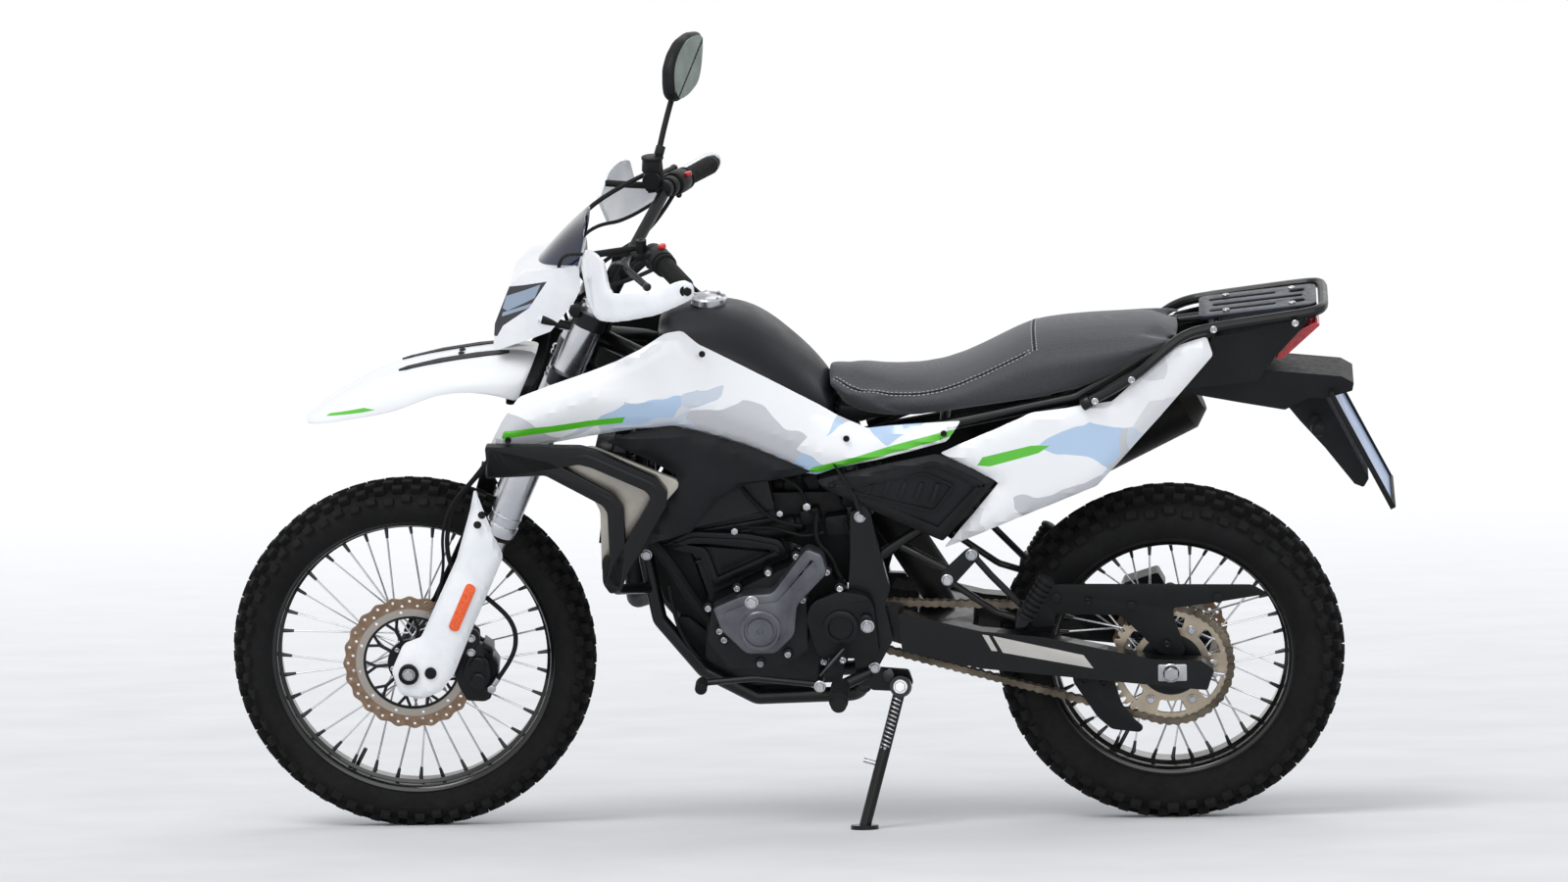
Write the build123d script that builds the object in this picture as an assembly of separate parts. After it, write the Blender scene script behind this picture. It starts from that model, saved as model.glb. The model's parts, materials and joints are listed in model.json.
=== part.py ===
"""Dual sport motorcycle, parked leaning on its side stand.

Every piece is drawn on the upright machine: X runs to the rear, Y to the rider's right, Z up,
with the floor at Z = 0 and X = 0 halfway between the axles. The whole machine is then leaned
about X until its stand foot is on the floor, and the origin goes to the middle of its footprint.
Side outlines are tables of (x, z). Sizes are in millimetres.
"""

from build123d import *
import math
import os

os.makedirs("parts", exist_ok=True)

# ---- driving sizes -------------------------------------------------------------------------
LEAN = 15.0            # degrees to the left on the side stand
WHEELBASE = 1425.0
FRONT_AXLE_X = -712.5
REAR_AXLE_X = FRONT_AXLE_X + WHEELBASE
SEAT_GAP = 0.3         # clearance where two pieces seat on each other

FRONT_TYRE_R = 341.0   # over the knobs
FRONT_TYRE_HALF = 46.0
FRONT_BEAD_R = 262.0
REAR_TYRE_R = 323.0
REAR_TYRE_HALF = 61.0
REAR_BEAD_R = 224.0
FRONT_CROWN_HALF = 12.0
REAR_CROWN_HALF = 20.0
RIM_DEPTH = 10.0
SPOKE_D = 4.0
SPOKE_COUNT = 36
HUB_BORE_GAP = 0.5
LUG_DEPTH = 11.0
LUG_LENGTH = 22.0      # around the tyre
LUG_START = 4.0        # from the centre plane
FRONT_LUGS = 37        # on each side
REAR_LUGS = 31

RAKE = 24.3            # degrees from vertical
FORK_LENGTH = 786.0    # axle to the top of the steering head, along the fork
AXLE_LEAD = 73.6       # axle ahead of the steering axis
CLAMP_OFFSET = 22.0    # fork tubes ahead of the steering axis
FORK_SPREAD = 98.0     # each fork tube from the centre plane
FORK_TUBE_D = 58.0
FORK_LEG_D = 43.0
FORK_TUBE_LOW = 314.0 - FORK_LENGTH     # along the steering axis, from its top
FORK_LEG_LOW = 51.0 - FORK_LENGTH
FORK_TUBE_TOP = 8.0
FRONT_AXLE_D = 15.0
REAR_AXLE_D = 17.0
STEM_D = 22.0
HEAD_TUBE_D = 50.0
HEAD_LOW = -130.0
HEAD_TOP = -32.0
CLAMP_THICK = 28.0
CLAMP_DEPTH = 62.0
CLAMP_BOSS_D = 60.0
RISER_TOP = 84.0
STEER_GAP = 0.3

FRONT_DISC_R = 130.0
FRONT_DISC_Y = -62.0
REAR_DISC_R = 110.0
REAR_DISC_Y = 74.0
DISC_THICK = 4.0
DISC_CLEAR = 5.0

BAR_D = 22.0
BAR_HALF = 430.0
GRIP_D = 34.0
GRIP_INNER = 300.0

CHAIN_Y = -80.0
CHAIN_PITCH = 15.875
CHAIN_HEIGHT = 15.0
CHAIN_WIDTH = 16.0
REAR_TEETH = 44
FRONT_TEETH = 14
SPROCKET_THICK = 6.0
FRONT_SPROCKET = (100.0, 425.0)   # x, z

PIVOT = (149.0, 436.0)            # swingarm pivot x, z
ARM_OUTER = 128.0
ARM_INNER = 98.0
TUBE_D = 30.0                     # frame tubes
RAIL_D = 24.0                     # rear rails
CRASH_BAR_D = 20.0
RACK_TUBE_D = 18.0
RACK_PLATE_L = 208.0
RACK_PLATE_W = 136.0
RACK_PLATE_T = 8.0
MIRROR_BORE_R = 4.25   # tapping size of an M10 thread
MIRROR_BORE_DEPTH = 16.0
PANEL = 4.0                       # plastic panel wall

STAND_PIVOT = (209.0, -150.0, 314.0)
STAND_FOOT_X = 138.0
STAND_FOOT_Y = -230.0
STAND_FOLDED = (0.985, -0.10, -0.14)   # way the folded leg points
STAND_LEG_D = 22.0
STAND_PIN_D = 14.0
STAND_KNUCKLE = 22.0
STAND_FOOT_R = 26.0
STAND_FOOT_T = 8.0


# ---- helpers -------------------------------------------------------------------------------
def sin_d(a):
    return math.sin(math.radians(a))


def cos_d(a):
    return math.cos(math.radians(a))


def axle_height(tyre_r, crown_half):
    """Axle height at which the leaned tyre just touches the floor."""
    return tyre_r + crown_half * math.tan(math.radians(LEAN))


FRONT_AXLE_Z = axle_height(FRONT_TYRE_R, FRONT_CROWN_HALF)
REAR_AXLE_Z = axle_height(REAR_TYRE_R, REAR_CROWN_HALF)
UP_X, UP_Z = sin_d(RAKE), cos_d(RAKE)
HEAD_X = FRONT_AXLE_X + FORK_LENGTH * UP_X + AXLE_LEAD * UP_Z
HEAD_Z = FRONT_AXLE_Z + FORK_LENGTH * UP_Z - AXLE_LEAD * UP_X


def fork(along, ahead, side):
    """A point given along the steering axis (up from its top), ahead of it, and to the right."""
    return (HEAD_X + along * UP_X - ahead * UP_Z, side, HEAD_Z + along * UP_Z + ahead * UP_X)


def tube(points, diameter, bend):
    """A round tube through points, its corners bent to arcs."""
    if len(points) == 2:
        return rod(points[0], points[1], diameter)
    path = FilletPolyline(*points, radius=bend)
    start = Plane(origin=path @ 0, z_dir=path % 0)
    return sweep(start * Circle(diameter / 2), path=path)


def rod(a, b, diameter, bore=0.0):
    a, b = Vector(*a), Vector(*b)
    plane = Plane(origin=a, z_dir=b - a)
    length = (b - a).length
    ring = Circle(diameter / 2)
    if bore:
        ring = ring - Circle(bore / 2)
    return extrude(plane * ring, length)


def slab(outline, y_a, y_b, corner=0.0):
    """A plate with the side outline (x, z), from y_a to y_b."""
    points = [(x, y_a, z) for x, z in outline]
    if corner:
        wire = Wire(FilletPolyline(*points, radius=corner, close=True).edges())
    else:
        wire = Wire.make_polygon(points, close=True)
    return Solid.extrude(Face(wire), Vector(0, y_b - y_a, 0))


def wall(levels, thickness):
    """A standing skin: each level is (z, ((x, y) ...)) in plan, on the left side."""
    wires = []
    for z, plan in levels:
        outer = [(x, y, z) for x, y in plan]
        inner = [(x, y + thickness, z) for x, y in reversed(plan)]
        wires.append(Wire.make_polygon(outer + inner, close=True))
    return Solid.make_loft(wires, ruled=True)


def turned(profile, x, z):
    """A ring turned about an axle at (x, z) from a table of (radius, y)."""
    face = Face(Wire.make_polygon([(x + r, y, z) for r, y in profile], close=True))
    return revolve(face, Axis((x, 0, z), (0, 1, 0)), 360)


def puck(x, z, y_a, y_b, diameter, bore=0.0):
    return rod((x, y_a, z), (x, y_b, z), diameter, bore)


def mirrored(shape):
    return mirror(shape, about=Plane.XZ)


def pair(shape):
    return [shape, mirrored(shape)]


def on_circle(x, z, radius, angle, y):
    return (x + radius * cos_d(angle), y, z + radius * sin_d(angle))


nodes = {}


def add(name, *shapes):
    flat = []
    for s in shapes:
        flat.extend(s if isinstance(s, (list, tuple)) else [s])
    whole = flat[0]
    if len(flat) > 1:
        whole = flat[0].fuse(*flat[1:])
    nodes[name] = whole


# ---- wheels --------------------------------------------------------------------------------
def faceted_ring(profile, facets, x, z):
    """A ring of flat facets round an axle at (x, z), from a closed table of (radius, y)."""
    faces = []
    for i in range(facets):
        a, b = ((i + part) * 360 / facets + 90 for part in (-0.5, 0.5))
        for (r1, y1), (r2, y2) in zip(profile, profile[1:] + profile[:1]):
            corners = [on_circle(x, z, r1, a, y1), on_circle(x, z, r2, a, y2),
                       on_circle(x, z, r2, b, y2), on_circle(x, z, r1, b, y1)]
            faces.append(Face(Wire.make_polygon(corners, close=True)))
    return Solid(Shell(faces))


def tyre(radius, half, bead, crown, lugs, x, z):
    """Knobbly tyre: a faceted carcass with staggered lugs fused round both of its shoulders."""
    side = radius - bead
    inner = bead / cos_d(90 / lugs) + SEAT_GAP
    half_profile = [
        (radius - LUG_DEPTH, LUG_START - 1.0), (radius - 0.36 * side, 0.94 * half),
        (radius - 0.62 * side, half), (inner, 0.60 * half),
    ]
    profile = half_profile + [(r, -y) for r, y in reversed(half_profile)]
    lug_profile = (
        (radius, LUG_START), (radius, crown), (radius - 0.26 * side, 0.97 * half),
        (radius - 0.40 * side, 0.80 * half), (radius - 2 * LUG_DEPTH, LUG_START),
    )
    pieces = []
    for sign, phase in ((-1, 0.5), (1, 0.0)):
        face = Face(Wire.make_polygon([(-LUG_LENGTH / 2, sign * y, r) for r, y in lug_profile], close=True))
        lug = Solid.extrude(face, Vector(LUG_LENGTH, 0, 0))
        for i in range(lugs):
            pieces.append(Pos(x, 0, z) * Rot(0, 360 * (i + phase) / lugs, 0) * lug)
    return faceted_ring(profile, 2 * lugs, x, z).fuse(*pieces)


def wire_wheel(x, z, bead, half, hub_profile, flange_r, flange_y, bore):
    rim_half = 0.60 * half
    rim = turned(
        (
            (bead + 6, rim_half + 6), (bead, rim_half + 1), (bead, -rim_half - 1), (bead + 6, -rim_half - 6),
            (bead + 6, -rim_half - 8), (bead - 2, -rim_half - 4), (bead - RIM_DEPTH, -0.4 * rim_half),
            (bead - RIM_DEPTH, 0.4 * rim_half), (bead - 2, rim_half + 4), (bead + 6, rim_half + 8),
        ),
        x, z,
    )
    hub = turned(hub_profile, x, z)
    step = 360 / SPOKE_COUNT
    spokes = []
    for i in range(SPOKE_COUNT):
        side = 1 if i % 2 else -1
        lean_way = 1 if (i // 2) % 2 else -1
        rim_at = i * step
        hub_at = rim_at + lean_way * 52
        a = on_circle(x, z, flange_r - 3, hub_at, side * flange_y)
        b = on_circle(x, z, bead - RIM_DEPTH + 3, rim_at, side * 5)
        spokes.append(rod(a, b, SPOKE_D))
    wheel = rim.fuse(hub, *spokes)
    return wheel - puck(x, z, -200, 200, bore)


def brake_disc(x, z, radius, y, arm_inner):
    y_a, y_b = y - DISC_THICK / 2, y + DISC_THICK / 2
    ring = puck(x, z, y_a, y_b, 2 * radius, 2 * (radius - 28))
    carrier = puck(x, z, y_a, y_b, 2 * arm_inner + 14, 2 * arm_inner - 14)
    arms = []
    for i in range(6):
        a = on_circle(x, z, arm_inner, i * 60, y)
        b = on_circle(x, z, radius - 26, i * 60 + 16, y)
        arms.append(rod(a, b, DISC_THICK * 3) & puck(x, z, y_a, y_b, 2 * radius))
    return ring.fuse(carrier, *arms)


add("front_tyre", tyre(FRONT_TYRE_R, FRONT_TYRE_HALF, FRONT_BEAD_R, FRONT_CROWN_HALF, FRONT_LUGS,
                       FRONT_AXLE_X, FRONT_AXLE_Z))
FRONT_HUB = ((28, -34), (30, -44), (44, -59.7), (8, -59.7), (8, 59.7), (22, 59.7), (34, 44), (28, 34),
             (20, 26), (20, -26))
add("front_wheel", wire_wheel(FRONT_AXLE_X, FRONT_AXLE_Z, FRONT_BEAD_R, FRONT_TYRE_HALF, FRONT_HUB, 30, 36,
                              FRONT_AXLE_D + 2 * HUB_BORE_GAP))
add("front_disc", brake_disc(FRONT_AXLE_X, FRONT_AXLE_Z, FRONT_DISC_R, FRONT_DISC_Y, 37))

add("rear_tyre", tyre(REAR_TYRE_R, REAR_TYRE_HALF, REAR_BEAD_R, REAR_CROWN_HALF, REAR_LUGS,
                      REAR_AXLE_X, REAR_AXLE_Z))
REAR_HUB = ((46, -36), (50, -46), (58, -50), (58, -76.7), (9, -76.7), (9, 71.7), (40, 71.7), (40, 50),
            (44, 44), (44, 36), (34, 28), (34, -28))
add("rear_wheel", wire_wheel(REAR_AXLE_X, REAR_AXLE_Z, REAR_BEAD_R, REAR_TYRE_HALF, REAR_HUB, 44, 40,
                             REAR_AXLE_D + 2 * HUB_BORE_GAP))
add("rear_disc", brake_disc(REAR_AXLE_X, REAR_AXLE_Z, REAR_DISC_R, REAR_DISC_Y, 33))

# ---- chain drive ---------------------------------------------------------------------------
def pitch_radius(teeth):
    return CHAIN_PITCH / (2 * sin_d(180 / teeth))


REAR_PITCH_R = pitch_radius(REAR_TEETH)
FRONT_PITCH_R = pitch_radius(FRONT_TEETH)
CHAIN_INNER_R = REAR_PITCH_R - CHAIN_HEIGHT / 2
REAR_SPROCKET_R = CHAIN_INNER_R - 1.0

sprocket = puck(REAR_AXLE_X, REAR_AXLE_Z, CHAIN_Y - SPROCKET_THICK / 2, CHAIN_Y + SPROCKET_THICK / 2,
                2 * REAR_SPROCKET_R, 2 * 26)
for i in range(6):
    slot_at = on_circle(REAR_AXLE_X, REAR_AXLE_Z, 78, i * 60, 0)
    sprocket = sprocket - puck(slot_at[0], slot_at[2], CHAIN_Y - 10, CHAIN_Y + 10, 34)
add("rear_sprocket", sprocket)


def loop_outline(at_pin, at_waist):
    """Closed outline round both sprockets, nearer to the pitch line at each link's waist."""
    fx, fz = FRONT_SPROCKET
    rx, rz = REAR_AXLE_X, REAR_AXLE_Z
    r1, r2 = FRONT_PITCH_R, REAR_PITCH_R
    gap = math.hypot(rx - fx, rz - fz)
    along = math.degrees(math.atan2(rz - fz, rx - fx))
    spread = math.degrees(math.acos((r1 - r2) / gap))
    straight = gap * sin_d(spread)
    round_front = r1 * math.radians(360 - 2 * spread)
    round_rear = r2 * math.radians(2 * spread)
    total = 2 * straight + round_front + round_rear
    count = 2 * round(total / (2 * CHAIN_PITCH))
    points = []
    for i in range(count):
        offset = at_waist if i % 2 else at_pin
        s = total * i / count
        if s < round_front:
            centre, radius, a, run = (fx, fz), r1, along + spread + math.degrees(s / r1), 0.0
        elif s < round_front + straight:
            centre, radius, a, run = (fx, fz), r1, along - spread, (s - round_front) / straight
        elif s < round_front + straight + round_rear:
            s = s - round_front - straight
            centre, radius, a, run = (rx, rz), r2, along - spread + math.degrees(s / r2), 0.0
        else:
            s = s - round_front - straight - round_rear
            centre, radius, a, run = (fx, fz), r1, along + spread, 1.0 - s / straight
        x = centre[0] + (radius + offset) * cos_d(a)
        z = centre[1] + (radius + offset) * sin_d(a)
        if run:
            x = x + run * (rx + (r2 + offset) * cos_d(a) - x)
            z = z + run * (rz + (r2 + offset) * sin_d(a) - z)
        points.append((x, z))
    return points


CHAIN_SIDE = CHAIN_WIDTH / 2
CHAIN_WAIST = 2.4      # how much a link narrows between its pins
chain_outer = slab(loop_outline(CHAIN_HEIGHT / 2, CHAIN_HEIGHT / 2 - CHAIN_WAIST),
                   CHAIN_Y - CHAIN_SIDE, CHAIN_Y + CHAIN_SIDE)
chain_inner = slab(loop_outline(-CHAIN_HEIGHT / 2, CHAIN_WAIST - CHAIN_HEIGHT / 2),
                   CHAIN_Y - CHAIN_SIDE - 1, CHAIN_Y + CHAIN_SIDE + 1)
add("chain", chain_outer - chain_inner)

# ---- fork and steering ---------------------------------------------------------------------
AXLE_LUG = ((96, 0), (96, 48), (41, 92), (-14, 92), (-29, 62), (-14, 20), (26, 0))   # above, ahead
legs, tubes = [], []
for side in (-1, 1):
    y = side * FORK_SPREAD
    tube_low, tube_top = fork(FORK_TUBE_LOW, CLAMP_OFFSET, y), fork(FORK_TUBE_TOP, CLAMP_OFFSET, y)
    tubes.append(rod(tube_low, tube_top, FORK_TUBE_D))
    leg = rod(fork(FORK_LEG_LOW, CLAMP_OFFSET, y), fork(FORK_TUBE_LOW, CLAMP_OFFSET, y), FORK_LEG_D)
    lug_outline = [fork(up - FORK_LENGTH, ahead, 0)[::2] for up, ahead in AXLE_LUG]
    lug = slab(lug_outline, y - 20, y + 20, 10)
    legs.extend([leg, lug])
axle = puck(FRONT_AXLE_X, FRONT_AXLE_Z, -FORK_SPREAD - 26, FORK_SPREAD + 26, FRONT_AXLE_D)
axle_head = puck(FRONT_AXLE_X, FRONT_AXLE_Z, -FORK_SPREAD - 28, -FORK_SPREAD - 19, 24)
add("fork_legs", *legs, axle, axle_head)
add("fork_tubes", *tubes)

clamps = []
for low in (HEAD_TOP + STEER_GAP, HEAD_LOW - STEER_GAP - CLAMP_THICK):
    base = Plane(origin=fork(low, CLAMP_OFFSET, 0), x_dir=(0, 1, 0), z_dir=(UP_X, 0, UP_Z))
    clamp_width = 2 * FORK_SPREAD + FORK_TUBE_D + 18
    bridge = extrude(base * RectangleRounded(clamp_width, CLAMP_DEPTH, 26), CLAMP_THICK)
    clamps.append(bridge)
    clamps.append(rod(fork(low, 0, 0), fork(low + CLAMP_THICK, 0, 0), CLAMP_BOSS_D))
clamps.append(rod(fork(HEAD_LOW - STEER_GAP - CLAMP_THICK, 0, 0), fork(FORK_TUBE_TOP, 0, 0), STEM_D))
clamp_block = clamps[0].fuse(*clamps[1:])
for side in (-1, 1):
    clamp_block = clamp_block + rod(fork(HEAD_TOP + STEER_GAP + CLAMP_THICK - 2, 8, side * 45),
                                    fork(RISER_TOP, 2, side * 45), 34)
add("triple_clamps", clamp_block)

BAR_LINE = ((-295, 0, 1094), (-283, 80, 1098), (-222, 225, 1183), (-148, BAR_HALF, 1172))
bar_right = tube(BAR_LINE, BAR_D, 40)
add("handlebar", pair(bar_right))


def bar_point(y):
    """Centre of the bar's outer straight at a distance from the centre plane."""
    (xa, ya, za), (xb, yb, zb) = BAR_LINE[2], BAR_LINE[3]
    t = (abs(y) - ya) / (yb - ya)
    return (xa + (xb - xa) * t, y, za + (zb - za) * t)


grips = []
for side in (-1, 1):
    grip_in, grip_out = bar_point(side * GRIP_INNER), bar_point(side * (BAR_HALF - 2))
    grips.append(rod(grip_in, grip_out, GRIP_D, BAR_D + 2 * SEAT_GAP))
add("grips", *grips)

controls = []
for side in (-1, 1):
    housing = rod(bar_point(side * 252), bar_point(side * 292), 44, BAR_D + 2 * SEAT_GAP)
    perch = rod(bar_point(side * 226), bar_point(side * 246), 36, BAR_D + 2 * SEAT_GAP)
    pivot = Vector(*bar_point(side * 240)) + Vector(-42, 0, -4)
    perch_arm = rod(tuple(Vector(*bar_point(side * 236)) + Vector(-15, 0, 0)), tuple(pivot), 20)
    lever_line = [pivot, pivot + Vector(-8, side * 60, -2), pivot + Vector(38, side * 170, -8)]
    lever = tube([tuple(place) for place in lever_line], 12, 60)
    perch = perch.fuse(perch_arm, lever)
    if side < 0:
        boss_low = Vector(*bar_point(-238)) + Vector(-24, 0, 4)
        boss_top = boss_low + Vector(0, 0, 24)
        perch = perch + rod(tuple(boss_low), tuple(boss_top), 20)
        bore_low = boss_top - Vector(0, 0, MIRROR_BORE_DEPTH)
        perch = perch - rod(tuple(bore_low), tuple(boss_top), 2 * MIRROR_BORE_R)
    controls.extend([housing, perch])
master_at = Vector(*bar_point(232)) + Vector(-30, -34, 20)
controls.append(rod(tuple(master_at), tuple(master_at + Vector(0, 44, 4)), 34))
add("hand_controls", *controls)

# hand guards: a shell ahead of each grip, and an arm below it to the bar's end
GUARD_OUTLINE = ((-342, 1215), (-322, 1241), (-309, 1234), (-289, 1216), (-284, 1162), (-222, 1160),
                 (-156, 1187), (-136, 1178), (-138, 1160), (-155, 1148), (-208, 1126), (-281, 1109),
                 (-309, 1110), (-332, 1144))
GUARD_END = 22.0       # guard beyond the bar's end
GUARD_WALL = 6.0
guard_plan = ((-345, -235), (-318, -330), (-262, 30 - BAR_HALF), (-180, 6 - BAR_HALF - GUARD_END),
              (-130, -BAR_HALF - GUARD_END))
guard_skin = wall(((1090, guard_plan), (1260, guard_plan)), GUARD_WALL)
guard_skin = slab(GUARD_OUTLINE, -GUARD_END - BAR_HALF - 20, -200, 5) & guard_skin
bar_end = rod(bar_point(-BAR_HALF - SEAT_GAP), bar_point(-BAR_HALF - GUARD_END), 24)
add("hand_guards", pair(guard_skin.fuse(bar_end)))

# mirror, on the right bar only
MIRROR_AT = (-188, 300, 1394)
MIRROR_FACING = (0.86, -0.5, 0.05)
head_plane = Plane(origin=MIRROR_AT, x_dir=(0.5, 0.86, 0), z_dir=MIRROR_FACING)
mirror_shell = extrude(head_plane * RectangleRounded(150, 104, 34), -22)
mirror_clamp = rod(bar_point(206), bar_point(222), 34, BAR_D + 2 * SEAT_GAP)
mirror_boss = Vector(*bar_point(214)) + Vector(-4, 0, 14)
stalk = tube((tuple(mirror_boss), (-236, 222, 1250), (-218, 258, 1320), (-198, 296, 1384)), 11, 20)
add("mirror", mirror_shell.fuse(stalk, mirror_clamp))

# fork guards, with orange reflectors
GUARD_SIDE = ((-572, 690), (-583, 657), (-614, 563), (-687, 410), (-722, 394), (-745, 345), (-731, 302),
              (-692, 295), (-655, 310), (-629, 342), (-595, 422), (-528, 571), (-548, 616))
GUARD_Y = 132.0
plate = slab(GUARD_SIDE, -GUARD_Y, -74, 6)
hollow = slab([(x + PANEL + 2, z - 2) for x, z in GUARD_SIDE], -GUARD_Y + PANEL, -60, 4)
boss = puck(-671, 347, -GUARD_Y + 1, -FORK_SPREAD - 20, 20)
guard = (plate - hollow).fuse(boss)
add("fork_guards", pair(guard))
reflector = slab(((-590, 523), (-578, 510), (-621, 427), (-636, 434)), -GUARD_Y - 4, -GUARD_Y, 3)
add("fork_reflectors", pair(reflector))

# front caliper on the left leg
CALIPER_OUTLINE = ((-608, 409), (-562, 372), (-541, 340), (-562, 276), (-611, 273), (-634, 325))
caliper = slab(CALIPER_OUTLINE, -92, -44, 6)
caliper = caliper - puck(FRONT_AXLE_X, FRONT_AXLE_Z, FRONT_DISC_Y - DISC_THICK / 2 - DISC_CLEAR,
                         FRONT_DISC_Y + DISC_THICK / 2 + DISC_CLEAR, 2 * (FRONT_DISC_R + DISC_CLEAR))
add("front_caliper", caliper)

# headlamp cowl, lens and screen: lofted noses
def nose(sections, corner):
    """A closed form lofted through (x, z_low, z_top, half_low, half_top) stations."""
    wires = []
    for x, z_low, z_top, half_low, half_top in sections:
        points = ((x, -half_low, z_low), (x, half_low, z_low), (x, half_top, z_top), (x, -half_top, z_top))
        wires.append(Wire(FilletPolyline(*points, radius=corner, close=True).edges()))
    return Solid.make_loft(wires, ruled=True)


COWL_OUTLINE = ((-534, 964), (-530, 1007), (-499, 1082), (-470, 1110), (-367, 1126), (-366, 1080),
                (-378, 1057), (-424, 1000), (-526, 958))
LENS_SIDE = ((-545, 984), (-531, 1012), (-504, 1080), (-428, 1094), (-463, 1043), (-514, 1005), (-526, 984))
COWL_STATIONS = ((-540, 940, 1140, 72, 62), (-470, 940, 1140, 98, 88), (-350, 940, 1140, 122, 108))


def inset_stations(stations, by):
    return [(x, low, top, half_low - by, half_top - by) for x, low, top, half_low, half_top in stations]


cowl = slab(COWL_OUTLINE, -200, 200, 8) & nose(COWL_STATIONS, 20)
cowl_inside = slab([(x + 8, z - 6) for x, z in COWL_OUTLINE], -200, 200, 6)
cowl = cowl - (cowl_inside & nose(inset_stations(COWL_STATIONS, PANEL), 18))
cowl = cowl - slab(LENS_SIDE, -200, 200)
for side in (-1, 1):
    cowl = cowl + rod(fork(-48, CLAMP_OFFSET, side * FORK_SPREAD), (-446, side * 97, 1024), 14)
add("headlight_cowl", cowl)
lens_form = slab(LENS_SIDE, -200, 200) & slab(COWL_OUTLINE, -200, 200, 8)
add("headlight_lens", lens_form & nose(inset_stations(COWL_STATIONS, 1), 19))
SCREEN_SIDE = ((-486, 1103), (-444, 1148), (-398, 1206), (-356, 1238), (-346, 1238), (-346, 1190),
               (-362, 1128), (-366, 1122), (-470, 1104))
# level: z, then x and half width of three points from the side edge to the middle
SCREEN_LEVELS = (
    (1090, ((-352, 112), (-440, 92), (-486, 46))),
    (1150, ((-346, 98), (-408, 78), (-441, 38))),
    (1205, ((-340, 80), (-376, 62), (-398, 30))),
    (1245, ((-330, 62), (-345, 46), (-352, 22))),
)
SCREEN_WALL = 5.0
screen_wires = []
for z, half_plan in SCREEN_LEVELS:
    left = [(x, -y, z) for x, y in half_plan]
    right = [(x, y, z) for x, y in reversed(half_plan)]
    back_right = [(x + SCREEN_WALL, y - SCREEN_WALL, z) for x, y in half_plan]
    back_left = [(x + SCREEN_WALL, SCREEN_WALL - y, z) for x, y in reversed(half_plan)]
    screen_wires.append(Wire.make_polygon(left + right + back_right + back_left, close=True))
add("windscreen", slab(SCREEN_SIDE, -200, 200) & Solid.make_loft(screen_wires, ruled=True))

# beak fender: a hollow shell, open below, with a tongue under the lower clamp
FENDER_SIDE = ((-895, 822), (-849, 857), (-762, 908), (-708, 930), (-621, 946), (-533, 957), (-470, 952),
               (-478, 884), (-502, 861), (-557, 885), (-638, 883), (-713, 846), (-789, 833), (-880, 818))
FENDER_PLAN = ((-900, -34), (-840, -62), (-740, -88), (-620, -98), (-520, -96), (-465, -80))


def plan_prism(plan, z_low, z_top, inset=0.0):
    """An upright prism from the left half of a plan, mirrored to the right."""
    left = [(x, y + inset, z_low) for x, y in plan]
    right = [(x, -y - inset, z_low) for x, y in reversed(plan)]
    return Solid.extrude(Face(Wire.make_polygon(left + right, close=True)), Vector(0, 0, z_top - z_low))


fender_outer = slab(FENDER_SIDE, -130, 130) & plan_prism(FENDER_PLAN, 780, 1000)
fender_inner = slab([(x, z - PANEL - 1) for x, z in FENDER_SIDE], -130, 130)
fender_inner = fender_inner & plan_prism(FENDER_PLAN, 780, 1000, PANEL)
CLAMP_LOW = HEAD_LOW - STEER_GAP - CLAMP_THICK
tongue_top = CLAMP_LOW - SEAT_GAP
tongue_low = CLAMP_LOW - 7
tongue = slab([fork(tongue_top, 5, 0)[::2], fork(tongue_top, 52, 0)[::2], (-472, 950), (-495, 949),
               fork(tongue_low, 58, 0)[::2], fork(tongue_low, 5, 0)[::2]], -30, 30)
add("front_fender", (fender_outer - fender_inner).fuse(tongue))

# brake hose: master cylinder to caliper, held by the fork
HOSE = ((-262, 205, 1207), (-325, 170, 1200), (-346, 95, 1150), (-368, 25, 1070), (-412, -25, 985),
        (-462, -48, 900), (-478, -54, 810), (-505, -55, 720), (-524, -57, 640), (-545, -66, 540),
        (-560, -74, 440), (-583, -76, 405))
add("brake_hose", tube(HOSE, 9, 22))

# ---- stand hinge: its axis is square to the leg both down and folded -----------------------
floor_up = Vector(0, sin_d(LEAN), cos_d(LEAN))
foot_z = -STAND_FOOT_Y * math.tan(math.radians(LEAN))
foot_point = Vector(STAND_FOOT_X, STAND_FOOT_Y, foot_z)
pivot_point = Vector(*STAND_PIVOT)
stand_axis = (foot_point - pivot_point).cross(Vector(*STAND_FOLDED)).normalized()

# ---- frame ---------------------------------------------------------------------------------
head_tube = rod(fork(HEAD_LOW, 0, 0), fork(HEAD_TOP, 0, 0), HEAD_TUBE_D, STEM_D + 6)
SPAR = (fork(-70, -18, -12), (-262, -60, 938), (-27, -112, 862), (104, -115, 790), (150, -115, 640))
CRADLE = ((-262, -62, 934), (-264, -73, 740), (-263, -76, 545), (-242, -76, 428), (-162, -76, 326),
          (-64, -76, 272), (124, -76, 277), (152, -112, 325))
PIVOT_PLATE = ((122, 650), (156, 656), (192, 498), (182, 465), (196, 398), (170, 350), (158, 308),
               (128, 308), (118, 400), (112, 470), (120, 560))
spar = tube(SPAR, 34, 50)
cradle = tube(CRADLE, TUBE_D - 2, 26)
pivot_plate = slab(PIVOT_PLATE, -126, -106, 8)
plate_pair = pair(pivot_plate)
stand_lug = slab(((150, 345), (224, 338), (232, 312), (214, 296), (150, 300)), -126, -118, 8)
bore_out = rod(fork(HEAD_LOW - 5, 0, 0), fork(HEAD_TOP + 5, 0, 0), STEM_D + 6)
frame_shape = head_tube.fuse(spar, mirrored(spar), cradle, mirrored(cradle), *plate_pair,
                             stand_lug)
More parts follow.
